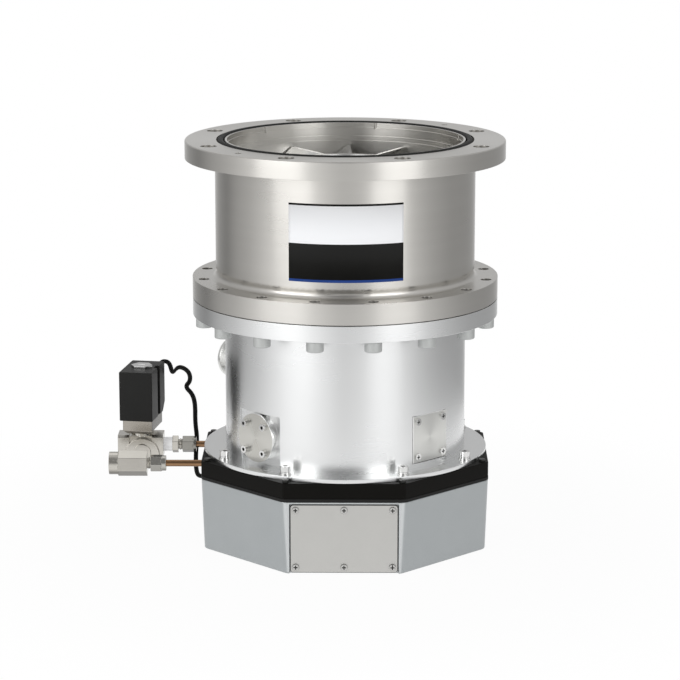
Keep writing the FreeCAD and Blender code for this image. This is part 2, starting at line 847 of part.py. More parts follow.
def side_cover_screws():
    face = pad_floor + side_cover_thick
    places = screw_square(side_cover_screw_x, side_cover_screw_z, face, side_cover_middle)
    return [at_bearing(cross_screw(place, pad_screw_radius, side_cover_thick + pad_screw_depth,
                                   pad_screw_head, side_screw_head_high), 45) for place in places]


def purge_port_cover():
    face = pad_floor + purge_cover_thick
    plate = rod(purge_cover_radius, in_front(pad_floor, purge_cover_height),
                in_front(face, purge_cover_height))
    spigot = rod(purge_bore - seat_gap, in_front(pad_floor - purge_spigot_long, purge_cover_height),
                 in_front(pad_floor + 1, purge_cover_height))
    places = screw_square(purge_screw_half, purge_screw_half, face, purge_cover_height)
    return at_bearing(plate.fuse(spigot).cut(pad_holes(places, purge_cover_thick + 1)), -45)


def purge_cover_screws():
    face = pad_floor + purge_cover_thick
    places = screw_square(purge_screw_half, purge_screw_half, face, purge_cover_height)
    return pad_socket_screws(places, purge_cover_thick, -45)


def exhaust_port():
    start = pad_floor
    rim = exhaust_face - exhaust_flange_rim
    back = rim - exhaust_flange_back
    profile = [(exhaust_bore, start), (exhaust_pipe_radius, start), (exhaust_pipe_radius, back),
               (exhaust_flange_radius, rim), (exhaust_flange_radius, exhaust_face),
               (exhaust_recess_radius, exhaust_face),
               (exhaust_recess_radius, exhaust_face - exhaust_recess_depth),
               (exhaust_bore, exhaust_face - exhaust_recess_depth)]
    pipe = turned(profile)
    pipe.rotate(Vector(0, 0, 0), Vector(1, 0, 0), 90)
    pipe.translate(Vector(0, 0, exhaust_height))
    plate = block(-exhaust_plate_half, exhaust_plate_half, -start - exhaust_plate_thick, -start,
                  exhaust_height - exhaust_plate_half, exhaust_height + exhaust_plate_half)
    hole = rod(exhaust_bore, in_front(start - 1, exhaust_height), in_front(exhaust_face, exhaust_height))
    places = screw_square(exhaust_screw_half, exhaust_screw_half, start + exhaust_plate_thick, exhaust_height)
    plate = plate.cut([hole] + pad_holes(places, exhaust_plate_thick + 1))
    return at_bearing(plate.fuse(pipe).removeSplitter(), -135)


def exhaust_screws():
    face = pad_floor + exhaust_plate_thick
    places = screw_square(exhaust_screw_half, exhaust_screw_half, face, exhaust_height)
    return pad_socket_screws(places, exhaust_plate_thick, -135)


# Inlet casing

def inlet_casing():
    profile = [(casing_bore, joint_height), (joint_flange_radius, joint_height),
               (joint_flange_radius, casing_flange_top), (casing_neck_radius, casing_flange_top),
               (casing_radius, casing_flange_top + casing_neck_high), (casing_radius, inlet_flange_low),
               (inlet_flange_radius, inlet_flange_low), (inlet_flange_radius, inlet_top - inlet_edge),
               (inlet_flange_radius - inlet_edge, inlet_top), (throat_radii[0], inlet_top)]
    for step, outer, inner in zip(throat_steps, throat_radii, throat_radii[1:]):
        profile += [(outer, inlet_top - step), (inner, inlet_top - step)]
    profile += [(throat_radii[-1], throat_low), (casing_bore, throat_low)]
    body = turned(profile)
    for fillet, radius, height in ((casing_foot_fillet, casing_neck_radius, casing_flange_top),
                                   (casing_neck_fillet, casing_radius, casing_flange_top + casing_neck_high)):
        body = body.makeFillet(fillet, circle_edges(body, radius, height))
    flange_hole = rod(inlet_hole_radius, in_front(inlet_hole_circle, inlet_flange_low - 1),
                      in_front(inlet_hole_circle, inlet_top + 1))
    jack = rod(jack_hole_radius, in_front(inlet_hole_circle, inlet_top - jack_hole_depth),
               in_front(inlet_hole_circle, inlet_top + 1))
    notch = rod(notch_radius, in_front(throat_radii[0], inlet_top - notch_depth),
                in_front(throat_radii[0], inlet_top + 1))
    bolt_hole = rod(casing_bolt_radius + seat_gap, in_front(casing_bolt_circle, joint_height - 1),
                    in_front(casing_bolt_circle, casing_flange_top + 1))
    cuts = around(flange_hole, inlet_hole_count, 180.0 / inlet_hole_count)
    cuts += around(jack, 2, -45)
    cuts += around(notch, notch_count, notch_bearing)
    cuts += around(bolt_hole, casing_bolt_count, 180.0 / casing_bolt_count)
    cuts.append(ring(inlet_groove_outer, inlet_groove_inner, inlet_top - inlet_groove_depth, inlet_top + 1))
    return body.cut(cuts)


def inlet_seal_ring():
    radius = (inlet_groove_inner + inlet_groove_outer) / 2
    return polygon_ring(radius, inlet_ring_radius, inlet_top - inlet_groove_depth + inlet_ring_radius)


# Rotor and stator stages

def stage_levels():
    rotors, stators = [], []
    top = rotor_top
    for index, stage in enumerate(rotor_stages):
        rotors.append((top, top - stage[1]))
        top -= stage[1] + stage_gap
        if index < len(stator_stages):
            stators.append((top, top - stator_stages[index][1]))
            top -= stator_stages[index][1] + stage_gap
    return rotors, stators


def blade_run(height, pitch):
    return height / math.tan(math.radians(pitch)) / 2


def blade_section(y, top, low, pitch, thick, lean):
    shift = lean * blade_run(top - low, pitch)
    half = thick / math.sin(math.radians(pitch)) / 2
    corners = [(shift - half, top), (shift + half, top), (half - shift, low), (-half - shift, low)]
    return Part.makePolygon([Vector(x, -y, z) for x, z in corners + corners[:1]])


def blade(inner, outer, top, low, pitch, root_pitch, thick, lean):
    sections = [blade_section(inner, top, low, root_pitch, thick, lean),
                blade_section(outer, top, low, pitch, thick, lean)]
    return Part.makeLoft(sections, True, True)


def tip_plane(height, pitch):
    return math.sqrt(rotor_tip ** 2 - (blade_run(height, pitch) + blade_thick) ** 2)


def rotor():
    levels, _ = stage_levels()
    first_hub, last_hub = rotor_stages[0][3], rotor_stages[-1][3]
    low = levels[-1][1]
    profile = [(shaft_radius + seat_gap, bell_seat), (shaft_radius + seat_gap, bell_top),
               (first_hub - 9, bell_top), (first_hub - 5, rotor_top), (first_hub, rotor_top)]
    for index, (stage, level) in enumerate(zip(rotor_stages, levels)):
        profile += [(stage[3], level[0]), (stage[3], level[1])][index == 0:]
    web_low = low - drag_web_high
    profile += [(last_hub, low - 1), (skirt_outer, low - 1), (skirt_outer, skirt_low),
                (skirt_inner, skirt_low), (skirt_inner, web_low), (bell_bore, web_low), (bell_bore, bell_seat)]
    blades = []
    for index, (stage, level) in enumerate(zip(rotor_stages, levels)):
        count, height, pitch, hub = stage
        root_pitch = pitch + (blade_root_twist if index == 0 else 0)
        one = blade(hub - 2, tip_plane(height, pitch), *level, pitch, root_pitch, blade_thick, -1)
        behind = math.degrees(math.asin(blade_run(height, pitch) / rotor_tip))
        blades += around(one, count, first_blade_bearing + behind)
    holes = around(rod(rotor_bolt_radius + seat_gap, in_front(rotor_bolt_circle, bell_top + 1),
                       in_front(rotor_bolt_circle, bell_seat - 1)), rotor_bolt_count)
    return turned(profile).fuse(blades).cut(holes)


def stator_disc(index):
    _, levels = stage_levels()
    count, height, pitch = stator_stages[index]
    top, low = levels[index]
    inner = rotor_stages[index + 1][3] + stator_hub_gap
    rim = ring(stator_rim_outer, stator_rim_inner, low, top)
    hub = ring(inner + stator_hub_width, inner, low, top)
    one = blade(inner + 1, stator_rim_inner + 1, top, low, pitch, pitch, stator_blade_thick, 1)
    whole = rim.fuse([hub] + around(one, count))
    bearing = 180.0 / count
    split = at_bearing(block(-halves_gap / 2, halves_gap / 2, -stator_rim_outer - 1, stator_rim_outer + 1,
                             low - 1, top + 1), bearing)
    halves = whole.cut(split).Solids
    return sorted(halves, key=lambda solid: -solid.Volume)[:2]


def spacer_rings():
    _, stators = stage_levels()
    edges = [throat_low] + [level for pair in stators for level in pair] + [stack_low]
    return [ring(stator_rim_outer, stator_rim_inner, edges[k + 1], edges[k])
            for k in range(0, len(edges), 2)]


def drag_stator():
    inner = skirt_outer + drag_stator_gap
    top = stack_low - stage_gap
    low = drag_seat_height - drag_groove_width / 2
    half = drag_groove_width / 2
    helix = Part.makeHelix(drag_groove_pitch, top - drag_seat_height + drag_groove_width, inner)
    helix.translate(Vector(0, 0, low))
    corners = [(inner - 2, -half), (inner + drag_groove_depth, -half), (inner + drag_groove_depth, half),
               (inner - 2, half)]
    section = Part.makePolygon([Vector(x, y, low) for x, y in corners + corners[:1]])
    groove = Part.Wire(helix.Edges).makePipeShell([section], True, True)
    return ring(drag_bore - seat_gap, inner, drag_seat_height, top).cut(around(groove, drag_groove_count))


# Shaft, bearings and motor

def shaft():
    nose = bell_top + shaft_nose_high
    flange_low = bell_seat - shaft_flange_thick
    body = turned([(0, shaft_low), (shaft_radius - 2, shaft_low), (shaft_radius, shaft_low + 2),
                   (shaft_radius, flange_low), (shaft_flange_radius, flange_low),
                   (shaft_flange_radius, bell_seat), (shaft_radius, bell_seat), (shaft_radius, nose - 1),
                   (shaft_radius - 1, nose), (0, nose)])
    hole_low = bell_seat - rotor_bolt_depth - seat_gap
    holes = around(rod(rotor_bolt_radius + seat_gap, in_front(rotor_bolt_circle, bell_seat + 1),
                       in_front(rotor_bolt_circle, hole_low)), rotor_bolt_count)
    return body.cut(holes)


def rotor_bolts():
    place = in_front(rotor_bolt_circle, bell_top)
    one = socket_screw(place, Vector(0, 0, 1), rotor_bolt_radius, bell_wall_top + rotor_bolt_depth,
                       rotor_bolt_head, rotor_bolt_head_high)
    return around(one, rotor_bolt_count)


def thrust_disc():
    return ring(thrust_radius, shaft_radius + seat_gap, thrust_low, thrust_low + thrust_thick)


def motor_rotor_sleeve():
    return ring(shaft_radius + motor_sleeve, shaft_radius + seat_gap, motor_low, motor_low + motor_high)


def stator_column():
    body = turned([(column_inner, floor_top), (column_foot_radius, floor_top),
                   (column_foot_radius, floor_top + column_foot_thick),
                   (column_outer, floor_top + column_foot_thick), (column_outer, column_top),
                   (column_neck_inner, column_top), (column_neck_inner, column_neck_low),
                   (column_inner, column_neck_low)])
    holes = around(rod(column_screw_radius + seat_gap, in_front(column_screw_circle, floor_top - 1),
                       in_front(column_screw_circle, floor_top + column_foot_thick + 1)), column_screw_count)
    return body.cut(holes)


def column_screws():
    place = in_front(column_screw_circle, floor_top + column_foot_thick)
    length = column_foot_thick + column_screw_depth - seat_gap
    one = screw(place, Vector(0, 0, 1), column_screw_radius, length,
                column_screw_head, column_screw_head_high)
    return around(one, column_screw_count)


def axial_magnets():
    outer = column_inner - seat_gap
    low_top = thrust_low - axial_gap
    high_low = thrust_low + thrust_thick + axial_gap
    return [ring(outer, axial_magnet_inner, low_top - axial_magnet_thick, low_top),
            ring(outer, axial_magnet_inner, high_low, high_low + axial_magnet_thick)]


def ball(radius, place):
    turns = [math.radians(-90 + 30 * k) for k in range(7)]
    shape = turned([(radius * math.cos(a), radius * math.sin(a)) for a in turns])
    shape.translate(place)
    return shape


def backup_bearing(outer, low):
    inner = shaft_radius + backup_gap
    race_wide = (backup_race_outer - inner) / 3
    circle = (inner + backup_race_outer) / 2
    ball_radius = race_wide / 2 + backup_track_deep
    middle, top = low + backup_thick / 2, low + backup_thick
    track = (ball_radius + seat_gap) * math.sqrt(2)
    spread = track - race_wide / 2
    near, far = circle - race_wide / 2, circle + race_wide / 2
    inner_race = turned([(inner, low), (near, low), (near, middle - spread), (circle - track, middle),
                         (near, middle + spread), (near, top), (inner, top)])
    outer_race = turned([(outer, low), (far, low), (far, middle - spread), (circle + track, middle),
                         (far, middle + spread), (far, top), (outer, top)])
    balls = around(ball(ball_radius, in_front(circle, middle)), backup_ball_count)
    return [inner_race, outer_race] + balls


def coil_pack(low, high, gap, slots):
    inner = shaft_radius + gap
    body = ring(column_inner - seat_gap, inner, low, low + high)
    slot = block(-slot_width / 2, slot_width / 2, -inner - slot_depth, -inner + 1, low - 1, low + high + 1)
    return body.cut(around(slot, slots))


def motor_stator():
    return coil_pack(motor_low, motor_high, motor_sleeve + radial_gap, motor_slot_count)


def radial_bearing(low):
    return coil_pack(low, radial_high, radial_gap, radial_pole_count)


def wire_plug():
    body = disc(plug_radius, plug_low, floor_top + plug_flange_thick)
    flange = disc(plug_flange_radius, floor_top, floor_top + plug_flange_thick)
    return body.fuse(flange).removeSplitter()


# Water valve and fittings

def level_rod(radius, x0, x1, y):
    return rod(radius, Vector(x0, y, tube_height), Vector(x1, y, tube_height))


def fitting_neck(x0, x1, y):
    middle = (x0 + x1) / 2
    ridge = level_rod(neck_ring_radius, middle - (x1 - x0) / 6, middle + (x1 - x0) / 6, y)
    return [level_rod(neck_radius, x0, x1, y), ridge]


def fitting(thread_start, thread_radius, hex_start, hex_end, across, turn, neck_end, y):
    return level_rod(thread_radius, thread_start, hex_start, y).fuse(
        [hexagon(across, hex_start, hex_end, y, tube_height, turn)] + fitting_neck(hex_end, neck_end, y)
        + [level_rod(neck_thread_radius, neck_end, neck_end + neck_thread_long, y)])


def fitting_bores(start, neck_end, y):
    return [level_rod(tube_bore, start - 1, neck_end + neck_thread_long + 1, y),
            level_rod(tube_radius + seat_gap, neck_end + tube_seat_deep, neck_end + neck_thread_long + 1, y)]


def outlet_coupling():
    body = fitting(coupling_start, coupling_round_radius, coupling_round_end, coupling_hex_end,
                   coupling_across, coupling_turn, coupling_neck_end, tube_out_y)
    port = level_rod(port_radius, coupling_start - 1, coupling_start + coupling_port_depth, tube_out_y)
    return body.cut([port] + fitting_bores(coupling_start, coupling_neck_end, tube_out_y)).removeSplitter()


def male_connector():
    start = valve_port_end - connector_thread_long
    body = fitting(start, connector_thread_radius, tape_end, connector_hex_end, connector_across, nut_turn,
                   connector_neck_end, tube_in_y)
    return body.cut(fitting_bores(start, connector_neck_end, tube_in_y)).removeSplitter()


def compression_nut(x0, x1, nose_end, y, turn):
    body = hexagon(nut_across, x0, x1, y, tube_height, turn).fuse(level_rod(nose_radius, x1 - 1, nose_end, y))
    thread = level_rod(neck_thread_radius + seat_gap, x0 - 1, x0 + neck_thread_long + 4 * seat_gap, y)
    through = level_rod(tube_radius + seat_gap, x0, nose_end + 1, y)
    return body.cut([thread, through])


def outlet_nut():
    return compression_nut(coupling_neck_end, out_nut_end, out_nose_end, tube_out_y, 0)


def inlet_nut():
    return compression_nut(connector_neck_end, in_nut_end, in_nose_end, tube_in_y, nut_turn)


def thread_tape():
    inside, y = connector_thread_radius, tube_in_y
    tape = level_rod(inside + tape_thick, valve_port_end, tape_end, y)
    return tape.cut(level_rod(inside + seat_gap, valve_port_end - 1, tape_end + 1, y))


def valve_port(x):
    port = block(x, x + valve_port_long, tube_in_y - valve_half_depth, tube_in_y + valve_half_depth,
                 valve_low, valve_high)
    along = [e for e in port.Edges if abs(e.tangentAt(e.FirstParameter).x) > 0.9]
    return port.makeChamfer(valve_port_chamfer, along)


def valve_boss(radius, drop, out):
    front, height = tube_in_y - out, tube_height - drop
    arch = rod(radius, Vector(coil_x, front, height), Vector(coil_x, tube_in_y, height))
    return arch.common(block(coil_x - radius, coil_x + radius, front, tube_in_y, valve_low, valve_high))


def valve_body():
    y = tube_in_y
    half = valve_half_depth - valve_waist
    waist = block(valve_port_start + valve_port_long - 1, valve_port_end - valve_port_long + 1,
                  y - half, y + half, valve_low + 1, valve_high - 1)
    collar = disc(bonnet_collar, valve_high - 2, bonnet_low, coil_x, y)
    body = waist.fuse([valve_port(valve_port_start), valve_port(valve_port_end - valve_port_long), collar,
                       valve_boss(boss_radius, boss_drop, boss_out),
                       valve_boss(boss_ring_radius, boss_ring_drop, boss_ring_out)])
    chamber = disc(valve_chamber_radius, seat_height - 1, bonnet_low + 1, coil_x, y)
    seat = ring(seat_radius + seat_wall, seat_radius, seat_height - 2, seat_height, coil_x, y)
    left_port = level_rod(port_radius, valve_port_start - 1, valve_port_start + valve_port_depth, y)
    thread_end = valve_port_end - connector_thread_long
    right_port = level_rod(connector_thread_radius + seat_gap, thread_end - seat_gap, valve_port_end + 1, y)
    way_height = tube_height - way_drop
    left_way = rod(way_radius, Vector(valve_port_start + valve_port_depth - 1, y, way_height),
                   Vector(coil_x, y, way_height))
    rise = disc(seat_radius, way_height, seat_height + 1, coil_x, y)
    way_x = coil_x + (valve_chamber_radius + seat_radius) / 2
    right_way = rod(way_radius, Vector(way_x, y, seat_height + way_radius),
                    Vector(thread_end, y, tube_height + way_rise))
    return body.cut([chamber.cut(seat), left_port, left_way, rise, right_port, right_way]).removeSplitter()


def beside_coil(shape):
    copy = shape.copy()
    copy.rotate(Vector(0, 0, 0), Vector(0, 0, 1), coil_turn)
    copy.translate(Vector(coil_x, tube_in_y, 0))
    return copy


def valve_bonnet():
    half_x, half_y = bonnet_width / 2, bonnet_depth / 2
    body = block(-half_x, half_x, -half_y, half_y, bonnet_low, bonnet_high)
    edges = [e for e in body.Edges if e.BoundBox.ZMax < bonnet_low + 0.1]
    body = body.makeChamfer(bonnet_bevel, edges)
    return beside_coil(body.cut(disc(guide_radius + seat_gap, bonnet_low - 1, bonnet_high + 1)))


def valve_coil():
    half_x, half_y = coil_width / 2, coil_depth / 2
    outline = [Vector(-half_x, -half_y, bonnet_high), Vector(-half_x, half_y - coil_rear_cut, bonnet_high),
               Vector(-half_x, half_y, bonnet_high + coil_rear_cut), Vector(-half_x, half_y, coil_top),
               Vector(-half_x, -half_y, coil_top)]
    body = prism(outline, Vector(coil_width, 0, 0))
    edges = [e for e in body.Edges if abs(e.tangentAt(e.FirstParameter).z) > 0.9]
    body = body.makeFillet(coil_edge, edges)
    slot = block(half_x - coil_slot_deep, half_x + 1, coil_slot_from, coil_slot_to,
                 bonnet_high - 1, coil_top + 1)
    bore = disc(guide_radius + seat_gap, bonnet_high - 1, coil_top + 1)
    return beside_coil(body.cut([slot, bore]))


def coil_gland():
    start = Vector(gland_x, coil_depth / 2, gland_height)
    return beside_coil(rod(gland_radius, start, start + Vector(0, gland_length, 0)))


def coil_nut():
    reach = coil_nut_across / 2 / math.cos(math.radians(30))
    top = coil_top + coil_nut_high
    nut = regular(6, reach, coil_top, top)
    slot = block(-coil_nut_slot_half, coil_nut_slot_half, -coil_nut_slot_wide / 2, coil_nut_slot_wide / 2,
                 top - coil_nut_slot_deep, top + 1)
    bore = disc(guide_stud_radius + seat_gap, coil_top - 1, top - coil_nut_slot_deep - 4 * seat_gap)
    return beside_coil(nut.cut([slot, bore]))


def guide_tube():
    foot, stud_top = bonnet_low - guide_flange, coil_top + coil_nut_high - stud_drop
    rim = bonnet_collar - guide_flange
    return beside_coil(turned([(guide_bore, foot), (rim, foot), (rim, bonnet_low), (guide_radius, bonnet_low),
                               (guide_radius, guide_top), (guide_stud_radius, guide_top),
                               (guide_stud_radius, stud_top), (0, stud_top), (0, core_low),
                               (guide_bore, core_low)]))


def valve_plunger():
    low = seat_height + plunger_seal_thick
    body = disc(plunger_radius, low, plunger_top)
    pocket = disc(plunger_pocket_radius, plunger_top - plunger_pocket_depth, plunger_top + 1)
    hollow = disc(plunger_seal_radius - 1, low - 1, low + plunger_seal_stem + 2 * seat_gap)
    return beside_coil(body.cut([pocket, hollow]))


def plunger_seal():
    low = seat_height
    head = disc(plunger_seal_radius, low, low + plunger_seal_thick)
    stem = disc(plunger_seal_radius - 1 - seat_gap, low,
                low + plunger_seal_thick + plunger_seal_stem)
    return beside_coil(head.fuse(stem).removeSplitter())


def plunger_spring():
    low = plunger_top - plunger_pocket_depth + spring_wire
    high = core_low - spring_wire
    helix = Part.makeHelix((high - low) / spring_turns, high - low, spring_radius)
    helix.translate(Vector(0, 0, low))
    turns = [math.radians(60 * k) for k in range(7)]
    section = Part.makePolygon([Vector(spring_radius + spring_wire * math.cos(a), 0,
                                       low + spring_wire * math.sin(a)) for a in turns])
    return beside_coil(Part.Wire(helix.Edges).makePipeShell([section], True, True))


# Lead

def coil_point(x, y, z):
    turn = math.radians(coil_turn)
    return Vector(coil_x + x * math.cos(turn) - y * math.sin(turn),
                  tube_in_y + x * math.sin(turn) + y * math.cos(turn), z)


def lead_points():
    mouth = coil_depth / 2 + gland_length
    start = coil_point(gland_x, mouth, gland_height)
    second = coil_point(gland_x, mouth + lead_start_run, gland_height)
    end = Vector(grommet_face - grommet_nose, grommet_y, grommet_height)
    corner = Vector(left_flank, 0, base_height)
    route = [corner + Vector(*point) for point in lead_route]
    return [start, second] + route + [end - Vector(lead_end_run, 0, 0), end]


def lead_path():
    points = lead_points()
    edges, radii = [], []
    previous = points[0]
    for before, corner, after in zip(points, points[1:], points[2:]):
        into, out = corner - before, after - corner
        turn = into.getAngle(out)
        cut = fold_factor * min(into.Length, out.Length)
        radii.append(cut / math.tan(turn / 2))
        into_unit, out_unit = into / into.Length, out / out.Length
        start, end = corner - into_unit * cut, corner + out_unit * cut
        towards = (out_unit - into_unit).normalize()
        centre = corner + towards * math.hypot(cut, radii[-1])
        middle = centre - towards * radii[-1]
        edges.append(Part.LineSegment(previous, start).toShape())
        edges.append(Part.Arc(start, middle, end).toShape())
        previous = end
    edges.append(Part.LineSegment(previous, points[-1]).toShape())
    return Part.Wire(edges), radii


def valve_lead():
    path, radii = lead_path()
    points = lead_points()
    along = (points[1] - points[0]).normalize()
    side = along.cross(Vector(0, 0, 1)).normalize()
    corner = lead_radius * math.sqrt(math.pi / math.sqrt(8))
    turns = [math.radians(45 * k) for k in range(9)]
    rim = [side * (corner * math.cos(a)) + Vector(0, 0, corner * math.sin(a)) for a in turns]
    section = Part.makePolygon([points[0] + offset for offset in rim])
    tube = path.makePipeShell([section], True, False)
    print("lead length", round(path.Length, 1), "radii", [round(radius, 1) for radius in radii])
    print("lead volume ratio", round(tube.Volume / (math.pi * lead_radius ** 2 * path.Length), 4))
    return tube


def lead_grommet():
    outside = Vector(grommet_face, grommet_y, grommet_height)
    body = rod(grommet_radius, outside + Vector(base_wall, 0, 0), outside)
    flange = rod(grommet_flange, outside, outside - Vector(grommet_flange_thick, 0, 0))
    nose = rod(lead_radius + grommet_wall, outside, outside - Vector(grommet_nose, 0, 0))
    return body.fuse([flange, nose]).removeSplitter()


# Electronics in the base

def board(low):
    plate = block(-board_half_x, board_half_x, -board_half_y, board_half_y, low, low + board_thick)
    return plate.cut([disc(post_radius / 2, low - 1, low + 3, x, y) for x, y in post_places()])


def post_places():
    x, y = board_half_x - post_inset, board_half_y - post_inset
    return [(-x, -y), (x, -y), (x, y), (-x, y)]


def board_posts():
    top = board_low + board_rise
    posts = []
    for x, y in post_places():
        posts.append(disc(post_radius, cover_thick, board_low, x, y))
        posts.append(disc(post_radius, board_low + board_thick, top, x, y))
    return posts


def capacitors():
    low = board_low + board_thick
    reach = board_half_x / 2
    return [disc(capacitor_radius, low, low + capacitor_high, (k - 1) * reach, 0)
            for k in range(capacitor_count)]


def power_inlet():
    return rear_connector(power_x, power_half, power_high)


def signal_connector():
    return rear_connector(signal_x, signal_half, signal_high)


def rear_connector(x, half, high):
    low, top = connector_height - high / 2, connector_height + high / 2
    inside, outside = octagon_half - connector_in, octagon_half + connector_out
    body = block(x - half + seat_gap, x + half - seat_gap, inside, octagon_half + 1,
                 low + seat_gap, top - seat_gap)
    flange = block(x - half - connector_flange, x + half + connector_flange, octagon_half, outside,
                   low - connector_flange, top + connector_flange)
    socket = block(x - half + connector_wall_x, x + half - connector_wall_x, inside + connector_wall_z,
                   outside + 1, low + connector_wall_z, top - connector_wall_z)
    return body.fuse(flange).cut(socket)


os.makedirs("parts", exist_ok=True)
single = [controller_housing, front_panel, front_panel_screws, bottom_cover, bottom_cover_screws,
          base_gasket, cooling_plate, corner_screws, cooling_tube, pump_housing, joint_seal_ring,
          housing_bolts, housing_bolt_washers, casing_bolts, side_cover_plate, side_cover_screws,
          purge_port_cover, purge_cover_screws, exhaust_port, exhaust_screws, inlet_casing,
          inlet_seal_ring, rotor, spacer_rings, drag_stator, shaft, rotor_bolts, thrust_disc,
          motor_rotor_sleeve, stator_column, column_screws, axial_magnets, motor_stator, wire_plug,
          outlet_coupling, outlet_nut, inlet_nut, male_connector, thread_tape, valve_body,
          valve_bonnet, valve_coil, coil_gland, coil_nut, guide_tube, valve_plunger, plunger_seal,
          plunger_spring, valve_lead, lead_grommet, board_posts, capacitors, power_inlet,
          signal_connector]
for make in single:
    save(make.__name__, make())
save("stator_discs", [half for index in range(len(stator_stages)) for half in stator_disc(index)])
save("backup_bearings", backup_bearing(column_inner - seat_gap, lower_backup_low)
     + backup_bearing(backup_race_outer - seat_gap, upper_backup_low))
save("radial_bearings", [radial_bearing(lower_radial_low), radial_bearing(upper_radial_low)])
save("drive_board", board(board_low))
save("control_board", board(board_low + board_rise))
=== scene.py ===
import bpy
import bmesh
import json
import math
from mathutils import Matrix, Vector


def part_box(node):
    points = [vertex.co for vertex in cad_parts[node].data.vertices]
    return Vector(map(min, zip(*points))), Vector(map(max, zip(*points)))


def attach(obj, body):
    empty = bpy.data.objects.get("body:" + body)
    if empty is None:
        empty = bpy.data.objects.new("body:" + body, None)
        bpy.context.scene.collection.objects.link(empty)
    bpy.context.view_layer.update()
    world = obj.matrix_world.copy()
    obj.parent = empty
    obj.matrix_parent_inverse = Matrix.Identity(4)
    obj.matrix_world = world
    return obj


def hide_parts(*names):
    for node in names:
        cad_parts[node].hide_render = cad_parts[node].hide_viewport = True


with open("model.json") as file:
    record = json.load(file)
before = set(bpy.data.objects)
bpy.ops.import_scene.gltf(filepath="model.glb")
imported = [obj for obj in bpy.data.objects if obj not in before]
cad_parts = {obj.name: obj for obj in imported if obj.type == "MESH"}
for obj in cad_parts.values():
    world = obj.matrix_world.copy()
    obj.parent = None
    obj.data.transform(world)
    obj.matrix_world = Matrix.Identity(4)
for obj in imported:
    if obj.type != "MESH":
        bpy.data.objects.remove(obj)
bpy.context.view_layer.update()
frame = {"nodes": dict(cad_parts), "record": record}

mm = 0.001
diagonal = 0.7071                    # cosine of 45 degrees, for the pads that look to the corners
scene = bpy.context.scene
nodes = frame["nodes"]
record = frame["record"]
bodyOf = {node: body for body, members in record["behaviour"]["bodies"].items() for node in members}
slotOf = {part["node"]: part["material_slot"] for part in record["subparts"]}
print("frame loaded:", len(nodes), "nodes")


def addObject(name, data):
    piece = bpy.data.objects.new(name, data)
    scene.collection.objects.link(piece)
    return piece


# Camera and lights: what the photograph was taken with

view = {
    "place": (0.017, -2.4436, 0.7268),
    "tilt": 12.393,          # degrees down
    "turn": 0.00895,         # radians to the left
    "lens": 139.49,
    "sensor": 36.0,
    "far": 20,               # metres up to which the camera sees
}
studio = {
    "boxes": {
        # name: bearing from the camera's side to the right in degrees, distance, height, wide, high, watts
        "boxLeft": (-45, 1.9, 0.85, 1.3, 1.4, 11),
        "boxRight": (38, 1.9, 0.85, 1.1, 1.4, 8),
        "boxTop": (-170, 0.9, 1.70, 1.4, 1.2, 3),
    },
    "aim": (0, 0, 0.2),
    "strength": 1.5,         # the tones below are counted in this
    # tone of the studio by bearing in degrees from the camera's side, left below nought
    "walls": ((-180, 0.667), (-173, 0.667), (-163, 0.40), (-152, 0.26), (-128, 0.16), (-110, 0.30),
              (-92, 0.38), (-74, 0.54), (-58, 0.62), (-45, 0.70), (-34, 0.70), (-20, 0.66), (-2, 0.49),
              (16, 0.54), (28, 0.65), (37, 0.69), (50, 0.61), (64, 0.46), (82, 0.33), (105, 0.25),
              (135, 0.24), (152, 0.26), (163, 0.36), (173, 0.667), (180, 0.667)),
    # tone overhead by bearing
    "roof": ((-180, 0.34), (-130, 0.34), (-95, 0.42), (-60, 0.52), (-34, 0.50), (-14, 0.16), (12, 0.16),
             (30, 0.50), (60, 0.50), (95, 0.40), (130, 0.34), (180, 0.34)),
    "roofFrom": (-0.04, 0.24),        # heights of the look between which the walls turn into the roof
}


def aimAt(piece, target):
    piece.rotation_euler = (Vector(target) - piece.location).to_track_quat("-Z", "Y").to_euler()


def addCamera():
    data = bpy.data.cameras.new("camera")
    data.lens = view["lens"]
    data.sensor_width = view["sensor"]
    data.clip_end = view["far"]
    eye = addObject("camera", data)
    eye.location = view["place"]
    eye.rotation_euler = (math.radians(90 - view["tilt"]), 0, view["turn"])
    scene.camera = eye


def addLights():
    for name, (bearing, distance, height, wide, high, watts) in studio["boxes"].items():
        data = bpy.data.lights.new(name, "AREA")
        data.shape = "RECTANGLE"
        data.size, data.size_y = wide, high
        data.energy = watts
        lamp = addObject(name, data)
        turn = math.radians(bearing)
        lamp.location = (distance * math.sin(turn), -distance * math.cos(turn), height)
        aimAt(lamp, studio["aim"])


# Shader helpers

class Val:                       # a shader socket that takes part in plain arithmetic
    def __init__(self, finish, socket):
        self.finish = finish
        self.socket = socket

    def calc(self, operation, *others):
        return self.finish.node("ShaderNodeMath", {"operation": operation}, dict(enumerate((self,) + others)))

    def __add__(self, other):
        return self.calc("ADD", other)

    def __sub__(self, other):
        return self.calc("SUBTRACT", other)

    def __rsub__(self, other):
        return self.calc("MULTIPLY", -1.0).calc("ADD", other)

    def __mul__(self, other):
        return self.calc("MULTIPLY", other)

    def __truediv__(self, other):
        return self.calc("DIVIDE", other)

    def __pow__(self, other):
        return self.calc("POWER", other)

    __radd__ = __add__
    __rmul__ = __mul__

    def rise(self, low, high):       # 0 at low, 1 at high, smooth between
        return self.finish.node("ShaderNodeMapRange", {"interpolation_type": "SMOOTHSTEP"},
                                {"Value": self, "From Min": low, "From Max": high})


